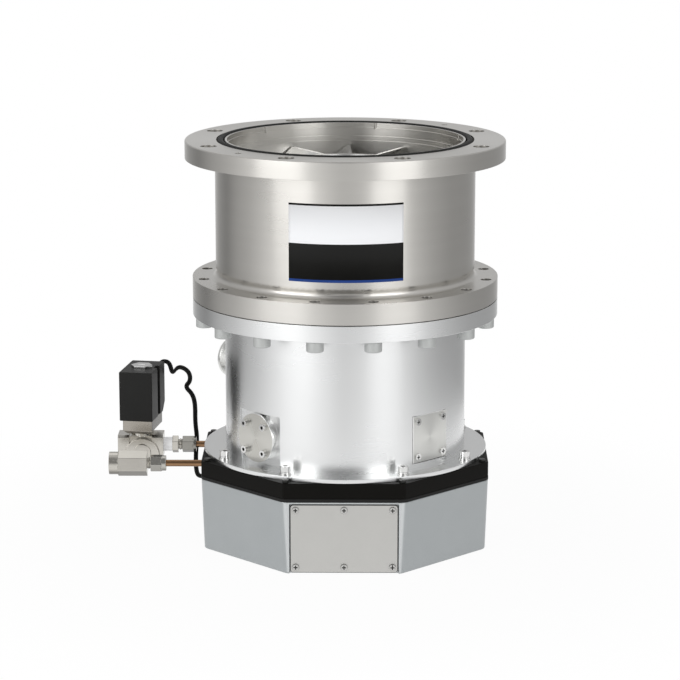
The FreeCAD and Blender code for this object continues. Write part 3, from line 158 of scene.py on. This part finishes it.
class Finish:                    # a new material, or the world's own nodes where they are given
    def __init__(self, name, tree=None, **fixed):
        if tree is None:
            self.material = bpy.data.materials.new(name)
            self.material.use_nodes = True
            tree = self.material.node_tree
        self.tree = tree
        self.shader = tree.nodes.get("Principled BSDF")
        self.wear(**fixed)

    def give(self, socket, value):
        if isinstance(value, Val):
            self.tree.links.new(value.socket, socket)
        elif hasattr(value, "__len__") and len(value) == 3 and socket.type == "RGBA":
            socket.default_value = (*value, 1)
        else:
            socket.default_value = value

    def node(self, kind, settings=None, inputs=None, out=0):
        made = self.tree.nodes.new(kind)
        for key, value in (settings or {}).items():
            if key == "stops":
                ramp = made.color_ramp
                while len(ramp.elements) < len(value):
                    ramp.elements.new(0.5)
                for element, (place, tone) in zip(ramp.elements, value):
                    element.position = place
                    element.color = (tone, tone, tone, 1)
            else:
                setattr(made, key, value)
        for key, value in (inputs or {}).items():
            self.give(made.inputs[key], value)
        return Val(self, made.outputs[out])

    def split(self, spot):
        sockets = self.node("ShaderNodeSeparateXYZ", {}, {0: spot}).socket.node.outputs
        return [Val(self, sockets[axis]) for axis in range(3)]

    def where(self):
        return self.node("ShaderNodeTexCoord", out="Object")

    def facing(self):                # the three parts of the way that the surface looks
        return self.split(self.node("ShaderNodeNewGeometry", out="Normal"))

    def spot(self, x, y, z):
        return self.node("ShaderNodeCombineXYZ", {}, {0: x, 1: y, 2: z})

    def noise(self, spot, scale, detail=2.0, rough=0.5):
        return self.node("ShaderNodeTexNoise", {}, {"Vector": spot, "Scale": scale, "Detail": detail,
                                                    "Roughness": rough})

    def blend(self, first, second, share):
        return self.node("ShaderNodeMix", {"data_type": "RGBA"}, {0: share, 6: first, 7: second}, 2)

    def bump(self, height, strength, distance):
        return self.node("ShaderNodeBump", {}, {"Strength": strength, "Distance": distance, "Height": height})

    def wear(self, **looks):         # what the shader's sockets get, the same all over or varying
        for socket, value in looks.items():
            self.give(self.shader.inputs[socket.replace("_", " ")], value)


# Surroundings and floor

def addSurroundings():
    world = bpy.data.worlds.new("studio")
    world.use_nodes = True
    scene.world = world
    back = world.node_tree.nodes["Background"]
    around = Finish("studio", world.node_tree)
    x, y, z = around.split(around.node("ShaderNodeTexCoord", out="Generated"))
    bearing = x.calc("ARCTAN2", y * -1.0) / (2 * math.pi) + 0.5
    tones = {}
    for part in ("walls", "roof"):
        stops = [((degrees + 180) / 360, tone) for degrees, tone in studio[part]]
        tones[part] = around.node("ShaderNodeValToRGB", {"stops": stops}, {0: bearing})
    lit = around.blend(tones["walls"], tones["roof"], z.rise(*studio["roofFrom"]))
    plainWhite = (1 / studio["strength"],) * 3
    seen = around.node("ShaderNodeLightPath", out="Is Camera Ray")
    back.inputs["Strength"].default_value = studio["strength"]
    around.give(back.inputs["Color"], around.blend(lit, plainWhite, seen))


floorPaper = {
    "reach": 0.56, "steps": 96, "tone": 0.86,
    "glow": (0.95, 1.0),                 # share of plain white near the object and at the rim
    "glowFrom": 0.22, "glowTo": 0.95,    # where it rises: from this radius to this share of the reach
}


def addFloor():
    disc = bmesh.new()
    bmesh.ops.create_circle(disc, cap_ends=True, segments=floorPaper["steps"], radius=floorPaper["reach"])
    mesh = bpy.data.meshes.new("floor")
    disc.to_mesh(mesh)
    disc.free()
    floor = addObject("floor", mesh)
    paper = Finish("paper", Base_Color=(floorPaper["tone"],) * 3, Roughness=0.9, Specular_IOR_Level=0.1)
    x, y, z = paper.split(paper.where())
    radius = (x * x + y * y) ** 0.5
    near, rim = floorPaper["glow"]
    risen = radius.rise(floorPaper["glowFrom"], floorPaper["reach"] * floorPaper["glowTo"])
    share = risen * (rim - near) + near
    rays = paper.node("ShaderNodeLightPath").socket.node.outputs
    seen = Val(paper, rays["Is Camera Ray"])
    for ray in ("Is Glossy Ray", "Is Transmission Ray"):
        seen = seen.calc("MAXIMUM", Val(paper, rays[ray]))
    glow = paper.node("ShaderNodeEmission", {}, {"Color": (1.0, 1.0, 1.0), "Strength": 1.0})
    mixed = paper.node("ShaderNodeMixShader", {},
                       {0: share * seen, 1: Val(paper, paper.shader.outputs[0]), 2: glow})
    paper.give(paper.tree.nodes["Material Output"].inputs["Surface"], mixed)
    mesh.materials.append(paper.material)


addCamera()
addLights()
addSurroundings()
addFloor()
scene.view_settings.view_transform = "Standard"
print("studio set")


# Finishes: noise scales, how much of each noise goes into colour and roughness, depth of the marks in metres

turning = {
    "rings": 650, "bands": 90, "cloud": 9,
    "slope": 0.6,                        # the lines' fineness on flat faces, as a share of that on walls
    "ringTone": 0.08, "bandTone": 0.3, "cloudTone": 0.62, "bandRough": 0.03, "cloudRough": 0.06,
}


def turned(name, dark, light, roughness, stretch=0.6):
    metal = Finish(name, Metallic=1.0, Anisotropic=stretch, Anisotropic_Rotation=0.25)
    spot = metal.where()
    x, y, z = metal.split(spot)
    along = (x * x + y * y) ** 0.5 * turning["slope"] + z
    rings = metal.noise(metal.spot(0.0, 0.0, along), turning["rings"])      # cutting lines about the axis
    bands = metal.noise(metal.spot(0.0, 0.0, along), turning["bands"])
    cloud = metal.noise(spot, turning["cloud"], 3.0)
    tone = rings * turning["ringTone"] + bands * turning["bandTone"] + cloud * turning["cloudTone"]
    rough = (bands - 0.5) * turning["bandRough"] + (cloud - 0.5) * turning["cloudRough"] + roughness
    metal.wear(Base_Color=metal.blend(dark, light, tone), Roughness=rough)
    return metal.material


milling = {
    "marks": 2600, "cloud": 60,
    "level": 0.12,                       # the marks' fineness sideways, as a share of that upwards
    "markTone": 0.5, "cloudTone": 0.5, "markRough": 0.10, "cloudRough": 0.08, "deep": 0.0001,
    "down": (-0.25, -0.75),              # how far down a face looks where its painted shade starts and is full
    "aside": (0.3, 0.6),                 # and how far aside
}


def milled(name, dark, light, roughness, lines=0.03, shadeUnder=1.0, shadeBeside=1.0):
    metal = Finish(name, Metallic=1.0)
    spot = metal.where()
    x, y, z = metal.split(spot)
    level = milling["level"]
    marks = metal.noise(metal.spot(x * level, y * level, z), milling["marks"], 3.0, 0.6)
    cloud = metal.noise(spot, milling["cloud"], 3.0)
    tone = metal.blend(dark, light, marks * milling["markTone"] + cloud * milling["cloudTone"])
    if shadeUnder < 1:                # painted shade: a darker colour on faces that look down, and below on faces that look aside
        low = metal.facing()[2].rise(*milling["down"])
        tone = metal.blend(tone, tuple(part * shadeUnder for part in dark), low)
    if shadeBeside < 1:
        flank = metal.facing()[0].calc("ABSOLUTE").rise(*milling["aside"])
        tone = metal.blend(tone, tuple(part * shadeBeside for part in dark), flank)
    rough = (marks - 0.5) * milling["markRough"] + (cloud - 0.5) * milling["cloudRough"] + roughness
    metal.wear(Base_Color=tone, Roughness=rough, Normal=metal.bump(marks, lines, milling["deep"]))
    return metal.material


covering = {
    "rings": 1500, "cloud": 60, "lines": 0.03,
    "core": 1e-6,                        # keeps the division whole in the middle
    "ringTone": 0.25, "ringRough": 0.08, "fanRough": 0.10, "deep": 0.0001,
}


def faced(name, dark, light, roughness, bearing, height, highlightShare):
    metal = Finish(name, Metallic=1.0)
    spot = metal.where()
    x, y, z = metal.split(spot)
    turn = math.radians(bearing)
    across = x * math.cos(turn) + y * math.sin(turn)
    up = z - height * mm
    radius = (across * across + up * up) ** 0.5
    rings = metal.noise(metal.spot(radius, 0.0, 0.0), covering["rings"], 3.0, 0.6)      # about the middle
    # painted highlight: the fan lays two light and two dark sectors about the middle into the colour, the X
    # that a faced plate reflects
    highlightFan = ((across * across - up * up) / (radius * radius + covering["core"])) * 0.5 + 0.5
    cloud = metal.noise(spot, covering["cloud"], 3.0)
    ringTone = covering["ringTone"]
    tone = highlightFan * highlightShare + rings * ringTone + cloud * (1 - ringTone - highlightShare)
    rough = (rings - 0.5) * covering["ringRough"] + (highlightFan - 0.5) * covering["fanRough"] + roughness
    metal.wear(Base_Color=metal.blend(dark, light, tone), Roughness=rough,
               Normal=metal.bump(rings, covering["lines"], covering["deep"]))
    return metal.material


casting = {
    "cloud": 35, "grainTone": 0.4, "cloudTone": 0.6, "grainRough": 0.15, "cloudRough": 0.08, "deep": 0.0002,
    "front": (0.88, 0.98),               # how far to the front a face looks where its painted light starts and is full
}


def cast(name, dark, light, roughness, grain=900, strength=0.3, metallic=0.0, front=None, **more):
    skin = Finish(name, Metallic=metallic, **more)
    spot = skin.where()
    fine = skin.noise(spot, grain, 3.0, 0.6)
    cloud = skin.noise(spot, casting["cloud"], 3.0)
    tone = skin.blend(dark, light, fine * casting["grainTone"] + cloud * casting["cloudTone"])
    # painted light: faces that look to the front get a lighter colour, as if lit from the front
    if front:
        tone = skin.blend(tone, front, (skin.facing()[1] * -1.0).rise(*casting["front"]))
    rough = (fine - 0.5) * casting["grainRough"] + (cloud - 0.5) * casting["cloudRough"] + roughness
    skin.wear(Base_Color=tone, Roughness=rough, Normal=skin.bump(fine, strength, casting["deep"]))
    return skin.material


finishes = {
    # material slot of the record: name, dark and light colour, roughness, and what differs from the usual
    "stainless": turned("stainlessTurned", (0.54, 0.525, 0.495), (0.68, 0.665, 0.635), 0.28),
    "housing_aluminium": turned("aluminiumTurned", (0.76, 0.765, 0.765), (0.85, 0.858, 0.86), 0.27,
                                stretch=0.5),
    "machined_aluminium": milled("aluminiumMilled", (0.66, 0.665, 0.65), (0.82, 0.82, 0.80), 0.30),
    "black_plate": cast("blackAnodised", (0.003, 0.0028, 0.0022), (0.0055, 0.005, 0.004), 0.48,
                        grain=1500, strength=0.08, Specular_IOR_Level=0.08),
    # the silver paint's front faces get painted light, a lighter colour
    "silver_paint": cast("silverPaint", (0.37, 0.392, 0.40), (0.43, 0.452, 0.46), 0.34,
                         grain=1400, strength=0.05, metallic=0.45, front=(0.62, 0.64, 0.645)),
    "panel_steel": milled("panelBrushed", (0.52, 0.515, 0.495), (0.60, 0.595, 0.575), 0.42),
    "plated_steel": milled("platedSteel", (0.62, 0.62, 0.61), (0.82, 0.82, 0.81), 0.11),
    # painted shade on the downward faces of the fittings and the copper tube
    "fitting_steel": milled("fittingSteel", (0.48, 0.46, 0.42), (0.68, 0.655, 0.605), 0.20, shadeUnder=0.42),
    "copper": milled("copperTube", (0.24, 0.135, 0.07), (0.42, 0.255, 0.145), 0.22, lines=0.02, shadeUnder=0.7),
    "black_rubber": cast("blackRubber", (0.007, 0.007, 0.007), (0.014, 0.014, 0.013), 0.55,
                         grain=1200, strength=0.15, Specular_IOR_Level=0.2),
    "coil_resin": cast("coilResin", (0.010, 0.010, 0.0095), (0.016, 0.016, 0.015), 0.42,
                       grain=1800, strength=0.08, Specular_IOR_Level=0.17),
    # painted light: the thread tape glows a little though it is no lamp, lifting it from the shade of the
    # coil and coupling
    "white_tape": cast("threadTape", (0.90, 0.90, 0.91), (0.97, 0.97, 0.98), 0.6,
                       grain=2200, Emission_Color=(1.0, 1.0, 1.0), Emission_Strength=0.18),
    "magnet_iron": milled("magnetIron", (0.20, 0.20, 0.21), (0.32, 0.32, 0.33), 0.42),
    "board_green": cast("boardGreen", (0.010, 0.090, 0.030), (0.020, 0.130, 0.050), 0.40,
                        grain=700, strength=0.15),
    "black_plastic": cast("blackPlastic", (0.012, 0.012, 0.012), (0.022, 0.022, 0.022), 0.48,
                          grain=1300, strength=0.25),
    "shaft_steel": turned("shaftSteel", (0.46, 0.46, 0.46), (0.62, 0.62, 0.62), 0.24),
}
ownFinishes = {
    # pieces that look other than their slot; the two covers add bearing, height in mm and the share of their
    # painted highlight
    "corner_screws": cast("blackScrew", (0.008, 0.008, 0.007), (0.016, 0.016, 0.014), 0.35,
                          grain=1600, strength=0.05),
    "casing_bolts": cast("boltZinc", (0.46, 0.475, 0.47), (0.55, 0.56, 0.55), 0.50,
                         grain=1600, strength=0.05, metallic=0.35),
    "rotor": milled("rotorMilled", (0.74, 0.74, 0.725), (0.90, 0.90, 0.885), 0.24),
    "front_panel_screws": milled("panelScrew", (0.46, 0.455, 0.44), (0.60, 0.595, 0.58), 0.25),
    # the two covers carry a painted highlight: an X of light and dark sectors in their colour
    "side_cover_plate": faced("sideCoverFaced", (0.60, 0.60, 0.58), (0.90, 0.90, 0.87), 0.34,
                              45, 116.0, 0.55),
    "purge_port_cover": faced("purgeCoverFaced", (0.52, 0.51, 0.475), (0.76, 0.75, 0.71), 0.30,
                              -45, 115.0, 0.45),
    # painted shade below on the nuts and the bonnet, and on the bonnet's flanks too
    "inlet_nut": milled("nutSteel", (0.24, 0.235, 0.215), (0.38, 0.37, 0.34), 0.20, shadeUnder=0.5),
    "outlet_nut": milled("nutNickel", (0.44, 0.43, 0.40), (0.60, 0.585, 0.55), 0.20, shadeUnder=0.5),
    "valve_bonnet": milled("bonnetSteel", (0.33, 0.305, 0.27), (0.47, 0.44, 0.395), 0.28,
                           lines=0.02, shadeUnder=0.6, shadeBeside=0.25),
}
ownSlots = {"corner_screws": "black_plate"}
edgeLightAndShade = {
    # painted light and shade on the cut edges of a piece, found by the way that its face looks: lighter edges
    # on the two covers, a near black edge about the front panel
    # the purge cover's rim gets a lighter colour as painted highlight; its lower roughness is that of its
    # turned finish
    "purge_port_cover": ((-diagonal, -diagonal, 0),
                         milled("rimTurnedHighlight", (0.84, 0.84, 0.83), (0.95, 0.95, 0.94), 0.20)),
    # the side cover's edges get a near white colour: painted light where the gap about the plate lies in
    # shade
    "side_cover_plate": ((diagonal, -diagonal, 0),
                         milled("plateEdgeHighlight", (0.90, 0.90, 0.89), (0.97, 0.97, 0.96), 0.45)),
    # the front panel's side edges get a near black colour: painted shade in the recess about the panel
    "front_panel": ((0, -1, 0), cast("panelEdgeShade", (0.05, 0.05, 0.048), (0.08, 0.08, 0.076), 0.6,
                                     grain=1500, strength=0.1)),
}
recessShade = cast("recessShade", (0.010, 0.010, 0.009), (0.022, 0.022, 0.020), 0.5,
                   grain=1500, strength=0.1)
print("finishes made:", len(finishes) + len(ownFinishes))


# CAD nodes: their own material inside, a bevelled and smoothed copy where they show

edgeWork = {
    "weld": 2e-6,            # metres within which points are one
    "flat": 0.05,            # degrees under which two faces are one
    "bevelFrom": 32,         # degrees between faces from which an edge is broken
    "smoothTo": 35,          # and up to which the shading runs over an edge
    "segments": 2,
    "edgeOn": 0.96,          # a face that looks less than this to its cover's front is an edge
}
recess = {
    # screws with a socket or a cross in the head, and the way that each head faces
    "heads": {
        "housing_bolts": (0, 0, 1), "casing_bolts": (0, 0, -1), "front_panel_screws": (0, -1, 0),
        "side_cover_screws": (diagonal, -diagonal, 0), "purge_cover_screws": (-diagonal, -diagonal, 0),
        "exhaust_screws": (-diagonal, diagonal, 0), "rotor_bolts": (0, 0, 1),
    },
    "rims": {"front_panel_screws": 0.80},      # heads with a dark edge, from this share of their radius
    "band": 1.0,             # what lies this close to the top in mm is the head
    "deep": 0.3,             # a recess lies lower than this in mm
    "share": 0.62,           # and within this share of the head's radius
}
reached = {
    # pieces whose far end lies further out than the CAD has it: its way, from where in mm, and by how much
    "exhaust_port": ((-diagonal, diagonal, 0), 112.0, 14.5),
}
sideCover = {
    "across": (diagonal, diagonal, 0),
    "grow": 1.2,             # how far its edges go out towards its pad's walls, in mm
    "edge": 0.5,             # what lies this close to an edge in mm goes with it
}


def finishNodes():
    for name, piece in nodes.items():
        for place in piece.material_slots:
            place.material = ownFinishes.get(name) or finishes[slotOf[name]]


def newPiece(name, shape, finish, body, slotName, replaced=()):
    mesh = bpy.data.meshes.new(name)
    shape.to_mesh(mesh)
    shape.free()
    mesh.shade_smooth()
    mesh.set_sharp_from_angle(angle=math.radians(edgeWork["smoothTo"]))
    piece = addObject(name, mesh)
    mesh.materials.append(finish)
    if replaced:
        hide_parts(*replaced)
    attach(piece, body)
    return piece


def screwsOf(shape):                 # the points of one screw after another
    left = set(shape.verts)
    while left:
        found = {left.pop()}
        queue = list(found)
        while queue:
            for edge in queue.pop().link_edges:
                for vert in edge.verts:
                    if vert in left:
                        left.remove(vert)
                        found.add(vert)
                        queue.append(vert)
        yield found


def darkenRecess(shape, facing, rim):
    for screw in screwsOf(shape):
        top = max(vert.co.dot(facing) for vert in screw)
        head = [vert.co for vert in screw if vert.co.dot(facing) > top - recess["band"] * mm]
        middle = sum(head, Vector()) / len(head)
        radius = max((co - middle - facing * (co - middle).dot(facing)).length for co in head)
        for face in {face for vert in screw for face in vert.link_faces}:
            place = face.calc_center_median()
            offset = place - middle
            deep = top - place.dot(facing)
            across = (offset - facing * offset.dot(facing)).length
            sunk = deep > recess["deep"] * mm and across < recess["share"] * radius
            if sunk or across > rim * radius:
                face.material_index = 1


def markEdges(shape, facing):
    for face in shape.faces:
        if face.normal.dot(facing) < edgeWork["edgeOn"]:
            face.material_index = 1


def reachOut(shape, way, start, more):
    for vert in shape.verts:
        if vert.co.dot(way) > start * mm:
            vert.co += way * more * mm


def growPlate(shape):
    across = Vector(sideCover["across"])
    low, high = (Vector(corner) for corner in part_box("side_cover_plate"))
    half = (high.z - low.z) / 2
    inner = half - sideCover["edge"] * mm
    for vert in shape.verts:
        side, up = vert.co.dot(across), vert.co.z - (low.z + high.z) / 2
        if abs(side) > inner:
            vert.co += across * math.copysign(sideCover["grow"] * mm, side)
        if abs(up) > inner:
            vert.co.z += math.copysign(sideCover["grow"] * mm, up)


def breakEdges(shape, width):
    limit = math.radians(edgeWork["bevelFrom"])
    edges = [edge for edge in shape.edges if edge.is_manifold and edge.calc_face_angle() > limit]
    bmesh.ops.bevel(shape, geom=edges, offset=width * mm, offset_type="OFFSET", affect="EDGES",
                    segments=edgeWork["segments"], profile=0.5, material=-1, clamp_overlap=False)


def dressNode(node, width):
    shape = bmesh.new()
    shape.from_mesh(nodes[node].data)
    if node in reached:
        way, start, more = reached[node]
        reachOut(shape, Vector(way), start, more)
    if node == "side_cover_plate":
        growPlate(shape)
    bmesh.ops.remove_doubles(shape, verts=shape.verts, dist=edgeWork["weld"])
    bmesh.ops.dissolve_limit(shape, angle_limit=math.radians(edgeWork["flat"]), verts=shape.verts[:],
                             edges=shape.edges[:])
    if width:
        breakEdges(shape, width)
    if node in recess["heads"]:
        darkenRecess(shape, Vector(recess["heads"][node]), recess["rims"].get(node, math.inf))
    if node in edgeLightAndShade:
        markEdges(shape, Vector(edgeLightAndShade[node][0]))
    finish = ownFinishes.get(node) or finishes[slotOf[node]]
    slotName = ownSlots.get(node) or slotOf[node]
    piece = newPiece(node + "_made", shape, finish, bodyOf[node], slotName, [node])
    if node in recess["heads"]:
        piece.data.materials.append(recessShade)
    if node in edgeLightAndShade:
        piece.data.materials.append(edgeLightAndShade[node][1])
    even = piece.modifiers.new("even", "WEIGHTED_NORMAL")
    even.keep_sharp = True


dressing = {
    # node: width of the broken edge in mm
    "controller_housing": 0.8, "front_panel": 0.45, "bottom_cover": 0.3, "base_gasket": 0.4,
    "cooling_plate": 0.6, "cooling_tube": 0, "pump_housing": 0.35, "housing_bolts": 0.35,
    "housing_bolt_washers": 0.15, "casing_bolts": 1.2, "side_cover_plate": 0.4, "side_cover_screws": 0.1,
    "purge_port_cover": 0.2, "purge_cover_screws": 0.15, "exhaust_port": 0.3, "exhaust_screws": 0.25,
    "inlet_casing": 0.2, "rotor": 0.12, "rotor_bolts": 0.25, "shaft": 0.2, "spacer_rings": 0.2,
    "outlet_coupling": 0.3, "outlet_nut": 0.3, "inlet_nut": 0.3, "male_connector": 0.3, "thread_tape": 0.1,
    "valve_body": 0.25, "valve_bonnet": 0.5, "valve_coil": 0.8, "coil_gland": 0.3, "coil_nut": 0.3,
    "lead_grommet": 0.3, "power_inlet": 0.3, "signal_connector": 0.3, "corner_screws": 0.25,
    "front_panel_screws": 0.1, "bottom_cover_screws": 0,
}
sealRing = {"section": 16, "steps": 144}


def addSealRing():
    low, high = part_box("inlet_seal_ring")
    radius = (high[2] - low[2]) / 2
    centre = Vector((high[0] - radius, 0, (low[2] + high[2]) / 2))
    place = Matrix.Translation(centre) @ Matrix.Rotation(math.pi / 2, 4, "X")
    shape = bmesh.new()
    made = bmesh.ops.create_circle(shape, cap_ends=False, segments=sealRing["section"], radius=radius,
                                   matrix=place)
    bmesh.ops.spin(shape, geom=made["verts"] + shape.edges[:], cent=(0, 0, 0), axis=(0, 0, 1),
                   angle=2 * math.pi, steps=sealRing["steps"], use_merge=True)
    bmesh.ops.recalc_face_normals(shape, faces=shape.faces)
    newPiece("inletSealRing", shape, finishes["black_rubber"], "pump", "black_rubber", ["inlet_seal_ring"])


finishNodes()
addSealRing()
for node, width in dressing.items():
    dressNode(node, width)
print("nodes dressed:", len(dressing))


# Label on the casing: bare bands, from the bottom blue, black, white and black

label = {
    "radius": 121.9, "thick": 0.3, "halfAngle": 25.0, "bearing": 0.8, "steps": 48,
    "wall": 0.95,            # share of the thickness that is made
    "low": 269.0, "blueTop": 271.4, "blackTop": 304.0, "whiteTop": 338.6, "top": 340.4,
    "blur": 0.05,            # half the height over which one band turns into the next, in mm
    "blue": (0.030, 0.085, 0.36), "black": (0.007, 0.007, 0.0065), "white": (0.90, 0.91, 0.93),
    "roughness": 0.45, "cloud": 30, "cloudRough": 0.1,
}


def labelFinish():
    plate = Finish("labelPrint", Specular_IOR_Level=0.2)
    spot = plate.where()
    x, y, z = plate.split(spot)
    cloud = plate.noise(spot, label["cloud"])
    blur = label["blur"] * mm
    tone = label["blue"]
    for height, colour in (("blueTop", "black"), ("blackTop", "white"), ("whiteTop", "black")):
        step = z.rise(label[height] * mm - blur, label[height] * mm + blur)
        tone = plate.blend(tone, label[colour], step)
    plate.wear(Base_Color=tone, Roughness=(cloud - 0.5) * label["cloudRough"] + label["roughness"])
    return plate.material


def addLabel():
    shape = bmesh.new()
    turn = math.radians(label["halfAngle"])
    first = Matrix.Rotation(math.radians(label["bearing"]) - turn, 4, "Z")
    start = first @ Vector((0, -(label["radius"] + label["thick"]) * mm, 0))
    ends = [shape.verts.new((start.x, start.y, label[key] * mm)) for key in ("low", "top")]
    edge = shape.edges.new(ends)
    bmesh.ops.spin(shape, geom=ends + [edge], cent=(0, 0, 0), axis=(0, 0, 1), angle=2 * turn,
                   steps=label["steps"], use_merge=False)
    bmesh.ops.recalc_face_normals(shape, faces=shape.faces)
    if shape.faces[0].normal.dot(shape.faces[0].calc_center_median()) < 0:
        bmesh.ops.reverse_faces(shape, faces=shape.faces)
    piece = newPiece("frontLabel", shape, labelFinish(), "pump", "white_tape")
    wall = piece.modifiers.new("wall", "SOLIDIFY")
    wall.thickness = label["thick"] * mm * label["wall"]
    wall.offset = -1


addLabel()
print("label added")


# Lead from the coil to the drive housing: two wires side by side

lead = {
    # the pair's way from the coil's gland down to the grommet, in mm
    "route": ((-183.212, 73.311, 146.5), (-182.135, 80.025, 146.5), (-181.3, 91.5, 148.3),
              (-174.3, 94.0, 146.6), (-170.9, 84.5, 136.4), (-165.5, 79.5, 145.0), (-158.9, 75.0, 145.2),
              (-153.0, 71.0, 141.0), (-152.0, 67.8, 133.6), (-157.2, 64.3, 128.6), (-149.5, 61.0, 122.0),
              (-146.9, 58.3, 111.7), (-147.2, 57.5, 94.7), (-145.4, 57.5, 78.9), (-146.4, 54.0, 67.7),
              (-146.1, 44.0, 59.1), (-145.0, 31.0, 54.6), (-143.4, 23.0, 51.6), (-141.0, 18.4, 50.7),
              (-136.4, 18.0, 50.6)),
    # degrees at each point that turn the pair's flat side to the front
    "tilts": (-136, -154, -133, -108, -83, -50, -71, -82, -92, -84, -75, -62, -88, -70, -75, -73, -68, -54,
              -24, -12),
    "wire": 1.12,            # radius of each wire in mm
    "length": 0.189,         # metres
    "steps": 10,             # between two points of the route
}


def leadSection():
    data = bpy.data.curves.new("leadSection", "CURVE")
    data.dimensions = "2D"
    radius = lead["wire"] * mm
    for side in (-1, 1):
        loop = data.splines.new("BEZIER")
        loop.bezier_points.add(3)
        for quarter, point in enumerate(loop.bezier_points):
            turn = math.radians(90 * quarter)
            point.co = (side * radius + radius * math.cos(turn), radius * math.sin(turn), 0)
            point.handle_left_type = point.handle_right_type = "AUTO"
        loop.use_cyclic_u = True
    section = addObject("leadSection", data)
    section.hide_render = True
    section.hide_viewport = True
    return section


def addLead():
    section = leadSection()
    data = bpy.data.curves.new("valveLead", "CURVE")
    data.dimensions = "3D"
    line = data.splines.new("NURBS")
    line.points.add(len(lead["route"]) - 1)
    for point, place, tilt in zip(line.points, lead["route"], lead["tilts"]):
        point.co = (place[0] * mm, place[1] * mm, place[2] * mm, 1)
        point.tilt = math.radians(tilt)
    line.order_u = 3
    line.use_endpoint_u = True
    data.resolution_u = lead["steps"]
    data.bevel_mode = "OBJECT"
    data.bevel_object = section
    data.use_fill_caps = True
    piece = addObject("valveLead", data)
    data.materials.append(finishes["black_rubber"])
    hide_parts("valve_lead")
    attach(piece, "pump")
    tuple(value * mm for value in lead["route"][0])


addLead()
print("lead added")
